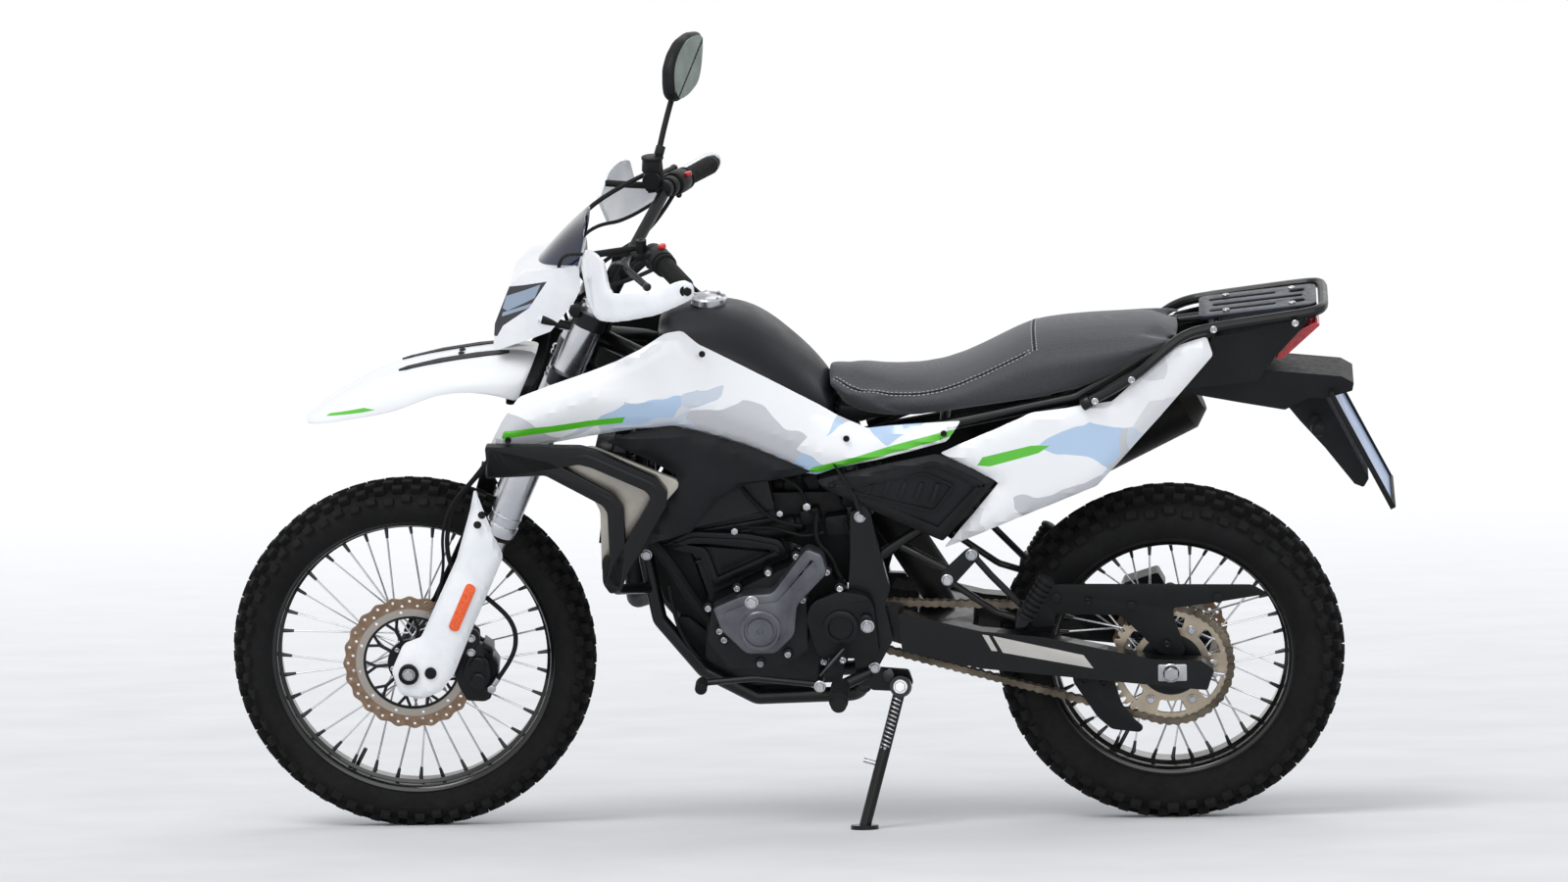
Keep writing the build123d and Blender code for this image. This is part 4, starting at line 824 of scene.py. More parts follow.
def hub(name, body, axle, profile):
    """The turned hub with its flanges."""
    piece = spun(profile, axle, 72)
    soften(piece, 1.0, 2, 30)
    ready(piece, name, "black_engine_paint", body)


SPOKES = 36
SPOKE_SWEEP = 52   # degrees between a spoke's ends, seen along the axle


def spokes(name, body, axle, bead, flange_radius, flange_y):
    """Laced wire spokes, and their nipples in the rim."""
    wires, nipples = [], []
    for i in range(SPOKES):
        side = 1 if i % 2 else -1
        way = 1 if (i // 2) % 2 else -1
        rim_at, hub_at = math.radians(i * 10), math.radians(i * 10 + way * SPOKE_SWEEP)
        a = Vector((axle[0] + flange_radius * math.cos(hub_at), side * flange_y,
                    axle[1] + flange_radius * math.sin(hub_at)))
        b = Vector((axle[0] + (bead - 8) * math.cos(rim_at), side * 5, axle[1] + (bead - 8) * math.sin(rim_at)))
        wires.append(bar(a, b, 3.8, 8, 0))
        back = (a - b).normalized()
        nipples.append(bar(b + back * 1, b + back * 22, 8.5, 12, 0, 5.6))
    ready(wires, name, "stainless_spoke_wire", body)
    ready(nipples, name + "_nipples", "anodised_black_rim", body)


def round_outline(axle, radius, count, wave, waves):
    """Points (x, z) round an axle, rippled by wave."""
    points = []
    for i in range(count):
        a = -2 * math.pi * i / count
        r = radius + wave * math.cos(waves * a)
        points.append((axle[0] + r * math.cos(a), axle[1] + r * math.sin(a)))
    return points


def cut(piece, tool):
    """Cuts one piece with another, which goes."""
    modify(piece, "BOOLEAN", operation="DIFFERENCE", object=tool, solver="EXACT")
    bpy.data.objects.remove(tool)


def ring_of(axle, radius, count, phase=0.0):
    """Points (x, z) evenly round an axle, from a phase in degrees."""
    return [(axle[0] + radius * math.cos(math.radians(phase + 360 * i / count)),
             axle[1] + radius * math.sin(math.radians(phase + 360 * i / count))) for i in range(count)]


def drill(piece, centres, y, diameter):
    """Drills across the machine at (x, z) centres."""
    cut(piece, joined([bar((x, y - 8, z), (x, y + 8, z), diameter, 12, 0) for x, z in centres]))


def brake_disc(name, body, axle, y, radius, inner, finish_name, node):
    """A wavy drilled disc on a black spider."""
    ring = plate(round_outline(axle, radius - 2, 240, 2.2, 24), y - 2, y + 2, edge=0)
    cut(ring, bar((axle[0], y - 8, axle[1]), (axle[0], y + 8, axle[1]), 2 * inner, 96, 0))
    drill(ring, ring_of(axle, radius - 9, 24) + ring_of(axle, radius - 18, 24, 7.5)
          + ring_of(axle, radius - 30, 12, 10), y, 6.0)
    ready(ring, name, finish_name, body, [node], 30)
    shelf = ((inner + 3, y - 1.6), (inner + 3, y + 1.6), (inner - 5, y + 1.6), (inner - 5, y - 1.6))
    parts = [spun(shelf, axle), spun(((46, y - 4), (46, y + 5), (28, y + 5), (28, y - 4)), axle, 64)]
    for x, z in ring_of(axle, 1.0, 10, 6):
        way = Vector((x - axle[0], 0, z - axle[1]))
        root = Vector((axle[0], y, axle[1])) + way * 44
        knee = Vector((axle[0], y, axle[1])) + way * (inner - 24)
        side_way = Vector((-way.z, 0, way.x))
        parts.append(bar(root, knee, 7, 8, 0))
        for sign in (-1, 1):
            parts.append(bar(knee, knee + way * 22 + side_way * sign * 13, 6, 8, 0))
    ready(parts, name + "_spider", "black_engine_paint", body)
    bolts = rows([(x, y - 4, z) for x, z in ring_of(axle, 38, 6, 15)], (0, -1 if y < 0 else 1, 0))
    fasteners(name + "_bolts", socket_bolt(9, 5), bolts, body)


FRONT_TEETH, REAR_TEETH = 14, 44
# one tooth's outline: part of its pitch, distance from the pitch circle in mm
TOOTH = ((0.0, 5.0), (0.16, 4.2), (0.34, -3.6), (0.5, -5.0), (0.66, -3.6), (0.84, 4.2))


def pitch_circle(teeth):
    """The radius on which a sprocket's chain pins lie."""
    return CHAIN_PITCH / (2 * math.sin(math.pi / teeth))


def sprocket_pieces():
    """The rear sprocket: its teeth, six windows, carrier and nuts."""
    outline = []
    pitch_radius = pitch_circle(REAR_TEETH)
    for i in range(REAR_TEETH):
        for part, radius in TOOTH:
            a = -2 * math.pi * (i + part) / REAR_TEETH
            outline.append((REAR_AXLE[0] + (pitch_radius + radius) * math.cos(a),
                            REAR_AXLE[1] + (pitch_radius + radius) * math.sin(a)))
    piece = plate(outline, CHAIN_Y - 3, CHAIN_Y + 3, edge=0)
    near, far = CHAIN_Y - 9, CHAIN_Y + 9
    cut(piece, bar((REAR_AXLE[0], near, REAR_AXLE[1]), (REAR_AXLE[0], far, REAR_AXLE[1]), 116, 72, 0))
    windows = []
    for i in range(6):
        arc = [math.radians(i * 60 + 30 + step) for step in (-17, -9, 0, 9, 17)]
        edge = [(96, a) for a in arc] + [(72, a) for a in reversed(arc)]
        outline = [(REAR_AXLE[0] + r * math.cos(a), REAR_AXLE[1] + r * math.sin(a)) for r, a in edge]
        windows.append(plate(outline, near, far, 4, 0))
    cut(piece, joined(windows))
    drill(piece, ring_of(REAR_AXLE, 103, 12, 15), CHAIN_Y, 4)
    ready(piece, "sprocket_ring", "machined_sprocket_steel", "rear_wheel_set",
          ["rear_sprocket"], 30)
    near, far = CHAIN_Y - 3.5, CHAIN_Y + 4
    carrier = spun(((60, near), (60, far), (30, far), (30, near)), REAR_AXLE, 72)
    soften(carrier, 1.0, 2, 30)
    ready(carrier, "carrier", "black_engine_paint", "rear_wheel_set")
    nuts = rows([(x, CHAIN_Y - 3, z) for x, z in ring_of(REAR_AXLE, 78, 6)])
    fasteners("sprocket_nuts", hex_bolt(14, 8), nuts, "rear_wheel_set")


def chain_line():
    """Points (x, z, heading) at even steps round both sprockets."""
    fx, fz = FRONT_SPROCKET
    rx, rz = REAR_AXLE
    r1, r2 = pitch_circle(FRONT_TEETH), pitch_circle(REAR_TEETH)
    gap = math.hypot(rx - fx, rz - fz)
    along = math.atan2(rz - fz, rx - fx)
    spread = math.acos((r1 - r2) / gap)
    straight = gap * math.sin(spread)
    around_front, around_rear = r1 * (2 * math.pi - 2 * spread), r2 * 2 * spread
    total = 2 * straight + around_front + around_rear
    count = 2 * round(total / CHAIN_PITCH / 2)
    upper, lower = along - spread, along + spread

    def on(x, z, radius, a):
        return x + radius * math.cos(a), z + radius * math.sin(a), a + math.pi / 2

    def run(start, end, t):
        return start[0] + (end[0] - start[0]) * t, start[1] + (end[1] - start[1]) * t, start[2]

    places = []
    for i in range(count):
        s = total * i / count
        if s < around_front:
            places.append(on(fx, fz, r1, lower + s / r1))
            continue
        s -= around_front
        if s < straight:
            places.append(run(on(fx, fz, r1, upper), on(rx, rz, r2, upper), s / straight))
            continue
        s -= straight
        if s < around_rear:
            places.append(on(rx, rz, r2, upper + s / r2))
            continue
        s -= around_rear
        places.append(run(on(rx, rz, r2, lower), on(fx, fz, r1, lower), s / straight))
    return places


def link(half_width, thick):
    """One link, drawn along +X from its first pin: two waisted plates, and a roller at its pin."""
    pitch = CHAIN_PITCH
    outline = [(-6.5, 0), (-4.5, 5.6), (0, 7.2), (pitch / 2, 4.8), (pitch, 7.2), (pitch + 4.5, 5.6),
               (pitch + 6.5, 0), (pitch + 4.5, -5.6), (pitch, -7.2), (pitch / 2, -4.8), (0, -7.2),
               (-4.5, -5.6)]
    left = plate(outline, -half_width - thick, -half_width, edge=0)
    right = plate(outline, half_width, half_width + thick, edge=0)
    roller = bar((0, -half_width - thick - 1, 0), (0, half_width + thick + 1, 0), 8.5, 10, 0)
    return joined([left, right, roller])


def chain_pieces():
    """Inner and outer links in turn, one loop over both sprockets."""
    places = chain_line()
    groups = []
    for phase, half_width in ((0, 4.2), (1, 6.2)):
        matrices = [Matrix.Translation(at(x, CHAIN_Y, z)) @ Matrix.Rotation(-way, 4, "Y")
                    for x, z, way in places[phase::2]]
        groups.append(copies(link(half_width, 1.6), matrices))
    ready(groups, "chain_links", "oiled_chain_steel", "chassis", ["chain"], 30)


# ---- fork, fender, headlamp ----------------------------------------------------------------
FORK_GUARD = (
    (-578, 694), (-586, 655), (-614, 563), (-687, 410), (-722, 394), (-745, 345), (-731, 302), (-692, 293),
    (-655, 308), (-629, 342), (-595, 422), (-528, 571), (-545, 616),
)
REFLECTOR = ((-594, 528), (-574, 517), (-618, 424), (-639, 434))


def fork_guard_side(x, z):
    """Distance from the centre plane: crowned across the leg, fuller at the axle."""
    across = (x + 536) * UP_Z - (z - 610) * UP_X
    low = max(0.0, min(1.0, (470 - z) / 120))
    return 133 - 0.0065 * across * across * (1 - 0.75 * low)


def guard_pieces():
    """The fork guards, their reflectors, axle caps and bolts."""
    piece = skin(FORK_GUARD, fork_guard_side, "white_gloss_abs", 3.5, 9, 7, 9, 11)
    ready(piece, "fork_guard_shells", "white_gloss_abs", "fork", ["fork_guards"], 30)
    rims, lenses = [], []
    middle = [sum(values) / 4 for values in zip(*REFLECTOR)]
    inner = [(middle[0] + (x - middle[0]) * 0.90, middle[1] + (z - middle[1]) * 0.96) for x, z in REFLECTOR]
    for side in (-1, 1):
        rims.append(plate(REFLECTOR, side * 131, side * 137, 10, 1.5))
        lenses.append(plate(inner, side * 135, side * 139.5, 8.5, 1.5))
    ready(rims, "reflector_rims", "white_gloss_abs", "fork")
    ready(lenses, "reflector_lenses", "orange_reflector_plastic", "fork",
          ["fork_reflectors"])
    caps = []
    for place, size in ((FRONT_AXLE, 15), ((-671, 347), 7)):
        caps.append(spun(((size + 4, -139), (size + 4, -128), (size - 2, -128), (size - 2, -139)), place, 32))
    ready(caps, "axle_cap_rings", "moulded_rubber", "fork")
    fasteners("axle_end_nut", hex_bolt(21, 8), rows([(FRONT_AXLE[0], -134, FRONT_AXLE[1])]), "fork")
    black = rows([(-671, -132, 347), (-563, -133, 655), (-572, -133, 636)])
    fasteners("guard_bolts", hex_bolt(12, 6), black, "fork", *BLACK_BOLTS)


FORK_Y, FORK_AHEAD = 98, 22   # each fork tube's distance from the middle and ahead of the steering axis


def fork_pieces():
    """Collars, seals and bolts of the upside down fork."""
    def around(y, low, high, *shape):
        return bar(fork_point(low, FORK_AHEAD, y), fork_point(high, FORK_AHEAD, y), *shape)

    collars, seals = [], []
    for y in (-FORK_Y, FORK_Y):
        for low, high, size in ((-472, -450, 62), (-436, -430, 60), (-2, 10, 52)):
            collars.append(around(y, low, high, size, 48, 1.5))
        seals.append(around(y, -482, -471, 52, 40, 1.5, 60))
        seals.append(around(y, 9, 17, 34, 6, 1.5))
    ready(collars, "fork_collars", "anodised_silver", "fork")
    ready(seals, "fork_seals", "moulded_rubber", "fork")
    pinch = [(fork_point(along, 52, side * 70), (-0.4, side * 0.9, 0.1))
             for side in (-1, 1) for along in (-48, -145, -156)]
    fasteners("clamp_bolts", socket_bolt(11, 8), pinch, "fork")


# x and z of the ridge, x and z of the lower edge, half width
FENDER_STATIONS = (
    (-897, 811, -893, 806, 22), (-872, 829, -876, 809, 42), (-840, 850, -848, 815, 57),
    (-800, 873, -812, 825, 70), (-740, 901, -748, 838, 84), (-690, 916, -700, 853, 92),
    (-630, 927, -645, 880, 98), (-575, 935, -580, 885, 99), (-520, 941, -520, 874, 98),
    (-478, 940, -498, 862, 95), (-458, 936, -490, 868, 90),
)
# the fender's section: part of its height, part of its half width
FENDER_SECTION = ((0, 0.97), (0.04, 1.0), (0.42, 0.97), (0.76, 0.82), (0.93, 0.62), (1.0, 0.40), (1.0, 0.18))
# the dark strips on it: x, width
FENDER_STRIP = ((-716, 2), (-700, 9), (-640, 13), (-570, 14), (-524, 12), (-508, 5))


def mirrored(left):
    """Points (x, y, z) on the left, in reverse order on the right."""
    return [(x, -y, z) for x, y, z in reversed(left)]


def fender_pieces():
    """The beak fender, its two dark strips and bolts."""
    sections = []
    for top_x, top_z, low_x, low_z, half in FENDER_STATIONS:
        left = [(low_x + (top_x - low_x) * t, -half * w, low_z + (top_z - low_z) * t)
                for t, w in FENDER_SECTION]
        sections.append(left + [(top_x, 0, low_z + (top_z - low_z) * 0.97)] + mirrored(left))
    piece = lofted(sections, False, 4, 1)
    strips = []
    for side in (-1, 1):
        strip_rows = []
        for x, wide in FENDER_STRIP:
            over = [on_top(piece, x, side * (37 + step * wide * 0.8))[0] for step in (-1, 0, 1)]
            strip_rows.append([place + Vector((0, 0, 2.5)) for place in over]
                              + [place - Vector((0, 0, 3)) for place in reversed(over)])
        strips.append(lofted(strip_rows))
    ready(piece, "fender_shell", "fender_film", "fork", ["front_fender"], 45)
    ready(strips, "fender_strips", "grained_grey_plastic", "fork")
    fasteners("fender_bolts", socket_bolt(12, 4), rows([(-600, -12, 932), (-600, 12, 932)], (0, 0, 1)), "fork",
              *BLACK_BOLTS)


# side edge x, z and half width, then middle x and z
SCREEN_ROWS = (
    (-372, 1112, 105, -478, 1078), (-366, 1130, 101, -449, 1112), (-360, 1155, 93, -416, 1149),
    (-357, 1177, 82, -384, 1180), (-356, 1191, 68, -365, 1195), (-356, 1196, 58, -358, 1199),
)
SCREEN_COLUMNS = 15


def screen_pieces():
    """The tinted screen, and the signal stubs and stay sleeves beside the lamp."""
    sections = []
    for edge_x, edge_z, half, mid_x, mid_z in SCREEN_ROWS:
        section = []
        for i in range(SCREEN_COLUMNS):
            t = i / 7 - 1
            bow = abs(t) ** 2.4
            section.append((mid_x + (edge_x - mid_x) * bow, half * math.copysign(abs(t) ** 0.9, t),
                            mid_z + (edge_z - mid_z) * bow))
        sections.append(section)
    ready(lofted(sections, False, 3.2, 1), "tinted_screen", "smoked_screen", "fork",
          ["windscreen"], 50)
    stubs = []
    for side in (-1, 1):
        stubs.append(bar((-372, side * 92, 1046), (-374, side * 122, 1046), 15, 20, 2))
        stubs.append(bar((-374, side * 120, 1046), (-376, side * 138, 1046), 27, 8, 4, 23))
        stubs.append(bar(fork_point(-44, FORK_AHEAD, side * FORK_Y), (-440, side * 97, 1022), 17))
    ready(stubs, "front_signal_stubs", "moulded_rubber", "fork")


# ---- hand guards, mirror, cockpit ----------------------------------------------------------
HAND_GUARD = (
    (-352, 1166), (-336, 1205), (-318, 1211), (-301, 1203), (-294, 1160), (-286, 1149), (-218, 1160),
    (-161, 1188), (-142, 1190), (-133, 1176), (-138, 1158), (-201, 1126), (-288, 1097), (-318, 1088),
    (-336, 1098),
)
# x, distance from the centre plane
GUARD_PLAN_OF_X = (
    (-352, 222), (-340, 262), (-326, 310), (-308, 352), (-286, 383), (-255, 408), (-215, 430), (-170, 445),
    (-130, 451),
)


def bar_point(y, dx=0, dy=0, dz=0):
    """Centre of the handlebar's outer straight at a distance from the centre plane, then moved on."""
    t = (abs(y) - 225) / 205
    return Vector((-222 + 74 * t, y, 1183 - 11 * t)) + Vector((dx, dy, dz))


def along_bar(y_a, y_b, diameter, sides=32, edge=1.5):
    """A sleeve round the handlebar."""
    return bar(bar_point(y_a), bar_point(y_b), diameter, sides, edge)


def hand_guard_pieces():
    """Both hand guards, their end bosses and struts."""
    piece = skin(HAND_GUARD, between(GUARD_PLAN_OF_X), "white_gloss_abs", 7, 7, 7, 5, 9, "white_gloss_abs")
    soften(piece, 1.2, 2, 40)
    ready(piece, "hand_guard_shells", "white_gloss_abs", "fork", ["hand_guards"], 40)
    bosses = []
    for side in (-1, 1):
        bosses.append(bar((-150, side * 432, 1172), (-146, side * 450, 1172), 26, 32, 3))
        bosses.append(bar((-147, side * 448, 1172), (-144, side * 456, 1172), 17, 6, 1.5))
        root = bar_point(side * 216, -14, 0, 6)
        bosses.append(hose([root, root + Vector((-40, side * 10, -2)), (-338, side * 252, 1186)], 13))
    ready(bosses, "bar_end_bosses", "moulded_rubber", "fork")


MIRROR_AT = (-178, 300, 1398)
MIRROR_FACING = (0.93, -0.36, 0.05)
MIRROR_OUTLINE = (
    (-12, 53), (34, 57), (72, 50), (73, 30), (56, -16), (36, -42), (-10, -55), (-54, -57), (-72, -44),
    (-76, -24), (-70, 12), (-47, 36),
)
PANE_SHARE = 0.92   # the pane's size as a share of its shell's


def mirror_place():
    """The mirror's own plane, u across it and v up it."""
    out = Vector(MIRROR_FACING).normalized()
    across = Vector((-out.y, out.x, 0)).normalized()
    return Matrix.Translation(at(*MIRROR_AT)) @ Matrix((across, out.cross(across), out)).transposed().to_4x4()


def mirror_pieces():
    """The right mirror on its stalk, and its pane."""
    rod_line = [bar_point(214, -4, 0, 14), (-238, 222, 1240), (-226, 244, 1292), (-208, 282, 1352),
                (-196, 298, 1384)]
    parts = [
        pressed(MIRROR_OUTLINE, -27, 0, mirror_place(), 9, 11, 5), hose(rod_line, 11),
        bar((-236, 226, 1246), (-231, 233, 1262), 19, 6, 1.5),
        bar((-202, 292, 1368), (-192, 299, 1392), 18, 24, 4, 26), along_bar(206, 222, 33, edge=2),
    ]
    ready(parts, "mirror_body", "grained_black_plastic", "fork", ["mirror"], 40)
    outline = [(u * PANE_SHARE, v * PANE_SHARE) for u, v in MIRROR_OUTLINE]
    pane = pressed(outline, -0.6, 1.2, mirror_place(), 13, 0)
    ready(pane, "mirror_pane", "mirror_glass", "fork")


# diameter, then the guiding points of each cable
CABLES = (
    (7, bar_point(-240, -42, 16, -4), (-345, -170, 1165), (-402, -110, 1150), (-410, -70, 1080),
     (-398, -64, 1010), (-372, -68, 950), (-320, -60, 880)),
    (8, bar_point(-262, -10, 0, -20), (-262, -180, 1120), (-330, -120, 1085), (-372, -70, 1060),
     (-386, -50, 1000), (-372, -48, 930)),
    (7, bar_point(262, -14, 0, -18), (-290, 190, 1130), (-360, 120, 1140), (-398, 60, 1100), (-400, 30, 1040),
     (-360, 30, 960), (-300, 30, 900)),
    (8, bar_point(268, -6, 0, -22), (-250, 180, 1110), (-330, 110, 1080), (-374, 62, 1050), (-380, 44, 980),
     (-362, 40, 930)),
    (6, (-455, -70, 900), (-520, -84, 790), (-580, -92, 712), (-626, -92, 664), (-644, -90, 604),
     (-642, -88, 548), (-650, -84, 500), (-668, -78, 440)),
)
GRIP_RIBS = 17


def cockpit_pieces():
    """Grips, switches, levers, the fluid reservoir, bar clamps and cables."""
    grips, reds, boxes, levers, caps = [], [], [], [], []
    for side in (-1, 1):
        grips.append(along_bar(side * 302, side * 426, 31, 40))
        grips.append(along_bar(side * 300, side * 305, 44, 40))
        for i in range(GRIP_RIBS):
            y = side * (311 + i * 6.6)
            grips.append(along_bar(y - 1.9, y + 1.9, 34, 40, 0.8))
    ready(grips, "ribbed_grips", "moulded_rubber", "fork", ["grips"])
    for side, spot in ((-1, (6, 0, 22)), (1, (22, 0, 12))):
        middle = bar_point(side * 270, *spot)
        reds.append(bar(middle, middle + Vector((-2, 0, 8)), 15, 20, 2))
    ready(reds, "red_switches", "glossy_red_plastic", "fork")
    for side in (-1, 1):
        boxes.append(along_bar(side * 251, side * 293, 46, 32, 5))
        for dx, dz, size in ((-20, 10, 13), (-20, -8, 12), (2, -24, 11)):
            middle = bar_point(side * 272, dx, 0, dz)
            boxes.append(bar(middle - Vector((0, 8, 0)), middle + Vector((0, 8, 0)), size, 16, 2))
        boxes.append(along_bar(side * 226, side * 246, 38, 32, 3))
    ready(boxes, "switch_boxes", "grained_black_plastic", "fork")
    for side in (-1, 1):
        pivot = bar_point(side * 240, -42, 0, -4)
        end = pivot + Vector((38, side * 170, -8))
        knuckles = [pivot, pivot + Vector((-8, side * 60, -2)), pivot + Vector((14, side * 116, -6)), end]
        levers.append(hose(knuckles, 12))
        levers.append(bar(end - Vector((2, side * 4, 0)), end + Vector((2, side * 6, 0)), 15, 20, 3))
    ready(levers, "blade_levers", "black_anodised_lever", "fork")
    low = bar_point(232, -30, -12, 32)
    pots = [bar(low, low + Vector((2, 0, 26)), 38, 40, 3),
            bar(low + Vector((2, 0, 25)), low + Vector((2, 0, 31)), 42, 40, 2)]
    ready(pots, "fluid_reservoir", "grained_black_plastic", "fork")
    for side in (-1, 1):
        caps.append(bar((-298, side * 32, 1096), (-298, side * 58, 1096), 38, 40, 3))
    ready(caps, "bar_clamps", "black_engine_paint", "fork")
    ready([hose(line, size) for size, *line in CABLES], "control_cables", "moulded_rubber", "fork")


# the caliper's face, the part of it outside the disc, x and z
CALIPER = (
    (-596, 416), (-583, 404), (-583, 389), (-557, 379), (-557, 364), (-547, 347), (-550, 317), (-561, 295),
    (-564, 280), (-576, 274), (-609, 276), (-622, 301), (-632, 330), (-621, 367),
)
CALIPER_BRIDGE = (
    (-574, 392), (-557, 379), (-557, 364), (-547, 347), (-550, 317), (-561, 295), (-572, 300), (-575, 344),
)
PAD_COVER = ((-604, 366), (-566, 362), (-560, 330), (-572, 300), (-606, 304), (-616, 336))
CALIPER_HANGER = ((-612, 408), (-588, 420), (-578, 404), (-584, 388), (-600, 366), (-620, 372))
BRAKE_LINE = (
    (-555, -99, 313), (-540, -101, 334), (-522, -102, 362), (-512, -102, 388), (-512, -102, 418),
    (-524, -101, 444), (-546, -98, 466), (-572, -90, 486), (-606, -84, 506), (-632, -84, 540),
    (-637, -84, 600), (-616, -82, 668), (-572, -78, 716), (-520, -70, 770), (-470, -40, 850), (-436, 10, 930),
    (-424, 60, 1020), (-410, 120, 1100), (-370, 180, 1170), bar_point(226, -32, 0, 30),
)


def caliper_pieces():
    """The two-piston front caliper over the disc's edge, its pad cover and bolts, and its hose."""
    parts = [plate(CALIPER, -92, -70, 4, 3), plate(CALIPER, -54, -44, 4, 3),
             plate(CALIPER_BRIDGE, -92, -44, 2, 2),
             plate(PAD_COVER, -91, -97, 8, 3), plate(CALIPER_HANGER, -97, -88, 6, 2)]
    for z in (350, 318):
        parts.append(spun(((15, -94), (15, -101), (12, -103), (0.5, -103), (0.5, -94)), (-586, z), 32))
    ready(parts, "front_caliper_casting", "black_engine_paint", "fork", ["front_caliper"], 30)
    fasteners("caliper_bolts", hex_bolt(13, 7), rows([(-597, -97, 374), (-596, -97, 402)]), "fork")
    banjo = [bar((-561, -88, 303), (-561, -106, 303), 17, 6), bar((-557, -99, 310), (-548, -100, 323), 11, 20)]
    ready(banjo, "caliper_banjo", "zinc_plated_steel", "fork")
    ready(hose(BRAKE_LINE, 9), "brake_line", "moulded_rubber", "fork", ["brake_hose"])


# ---- tank, panels, tail --------------------------------------------------------------------
CAP_X, CAP_Z = -136, 1027
CAP_RING = ((34, -6), (34, 5), (31, 8), (26, 8), (25, 5), (21, 6), (0.5, 7), (0.5, -6))
CAP_SCREWS = 7
# x, low z, low half width, middle z, middle half width, top z, top half width
TANK_STATIONS = (
    (-232, 962, 70, 985, 92, 998, 58), (-205, 954, 96, 982, 116, 1010, 72),
    (-160, 938, 120, 974, 136, 1021, 82), (-100, 905, 128, 956, 141, 1024, 86),
    (-40, 872, 130, 925, 142, 1004, 84), (10, 850, 125, 900, 134, 963, 78), (50, 833, 116, 874, 124, 927, 70),
    (82, 821, 104, 850, 109, 888, 60), (97, 815, 94, 838, 98, 864, 48),
)


def tank_piece():
    """The pressed steel tank, broad over its shoulders and falling away to the seat."""
    piece = lofted([body_section(*row, drop=17) for row in TANK_STATIONS], rounds=2)
    ready(piece, "tank_shell", "satin_tank_paint", "chassis", ["fuel_tank"], 60)


def cap_pieces():
    """The round filler cap with its ring, flap and screws."""
    ring = spun(CAP_RING, (0, 0), 72)
    ring.data.transform(Matrix.Rotation(math.radians(90), 4, "X"))
    ring.data.transform(Matrix.Translation(at(CAP_X, 0, CAP_Z)) @ Matrix.Rotation(math.radians(1.2), 4, "Y"))
    outward(ring)
    ready(ring, "filler", "anodised_silver", "chassis", ["tank_cap"], 40)
    turns = [math.radians(i * 360 / CAP_SCREWS) for i in range(CAP_SCREWS)]
    screws = rows([(CAP_X + 28.5 * math.cos(a), 28.5 * math.sin(a), CAP_Z + 7.5) for a in turns], (0.02, 0, 1))
    fasteners("filler_screws", socket_bolt(5, 3), screws, "chassis")


SHROUD = (
    (-536, 811), (-508, 862), (-478, 903), (-423, 925), (-351, 948), (-297, 966), (-253, 985), (-207, 1010),
    (-178, 1012), (-150, 986), (-27, 914), (104, 836), (158, 811), (331, 824), (303, 787), (180, 757),
    (94, 738), (62, 724), (44, 727), (-65, 784), (-153, 820), (-198, 838), (-266, 836), (-356, 822),
    (-529, 801),
)
CREASE = (
    (-540, 812), (-450, 872), (-349, 905), (-290, 900), (-229, 890), (-162, 886), (-94, 860), (77, 772),
    (196, 756), (306, 800),
)
SHROUD_WIDE = ((-560, 220), (-420, 231), (-250, 217), (-100, 182), (60, 157), (200, 149), (350, 146))


def shroud_side(x, z):
    """Distance from the centre plane: the face breaks at a crease, leaning in above and below it."""
    over = z - between(CREASE)(x)
    rise = 0.27 * over if over > 0 else -0.42 * over
    return between(SHROUD_WIDE)(x) - min(rise, 40)


def slope(levels):
    """A side function between two levels, each (z, ((x, distance), ...))."""
    (low_z, low), (high_z, high) = levels

    def side(x, z):
        t = (z - low_z) / (high_z - low_z)
        return between(low)(x) * (1 - t) + between(high)(x) * t

    return side


LOWER_FAIRING = (
    (-322, 812), (-262, 830), (-203, 836), (-150, 822), (-60, 788), (52, 732), (-30, 720), (-66, 718),
    (-122, 689), (-172, 630), (-251, 610), (-292, 556), (-240, 650), (-192, 741), (-240, 772),
)
TAIL_PANEL = (
    (786, 972), (797, 936), (700, 826), (579, 694), (440, 638), (295, 576), (350, 640), (401, 704), (292, 762),
    (380, 800), (463, 838), (611, 856), (680, 916), (731, 956),
)
SIDE_COVER = (
    (62, 715), (180, 742), (286, 762), (342, 736), (392, 706), (344, 650), (293, 592), (180, 648), (76, 699),
)
COVER_FIELD = ((112, 706), (268, 738), (330, 706), (286, 642), (120, 690))   # the raised field on the cover
SILVER_PANEL = (
    (-463, 776), (-420, 797), (-346, 812), (-262, 776), (-190, 745), (-188, 733), (-285, 622), (-312, 566),
    (-336, 571), (-335, 688), (-345, 708),
)
# the two padded runs of each crash bar, x and z
CRASH_RUNS = (
    ((-540, 791), (-368, 801), (-340, 793), (-238, 745), (-224, 725), (-226, 709), (-298, 586), (-314, 546)),
    ((-540, 791), (-428, 779), (-318, 716), (-305, 695), (-304, 604), (-314, 546)),
)
BAR_END_PAD = ((-334, 600), (-302, 612), (-290, 572), (-302, 540), (-320, 530), (-334, 552))
# x, distance from the middle, z
PANEL_BOLTS = (
    (-500, 224, 828), (-140, 180, 975), (120, 152, 800), (300, 148, 806), (-225, 186, 800), (90, 146, 712),
    (600, 133, 838), (352, 138, 700),
)


def ribbon(path, width):
    """The outline of a band of a given width along an open path of (x, z)."""
    left, right = [], []
    for i, here in enumerate(path):
        before, after = Vector(path[max(i - 1, 0)]), Vector(path[min(i + 1, len(path) - 1)])
        into, out = Vector(here) - before, after - Vector(here)
        into, out = (into or out).normalized(), (out or into).normalized()
        middle = (into + out).normalized()
        normal = Vector((-middle.y, middle.x)) * (width / 2 / max(0.5, middle.dot(into)))
        left.append(tuple(Vector(here) + normal))
        right.append(tuple(Vector(here) - normal))
    return left + right[::-1]


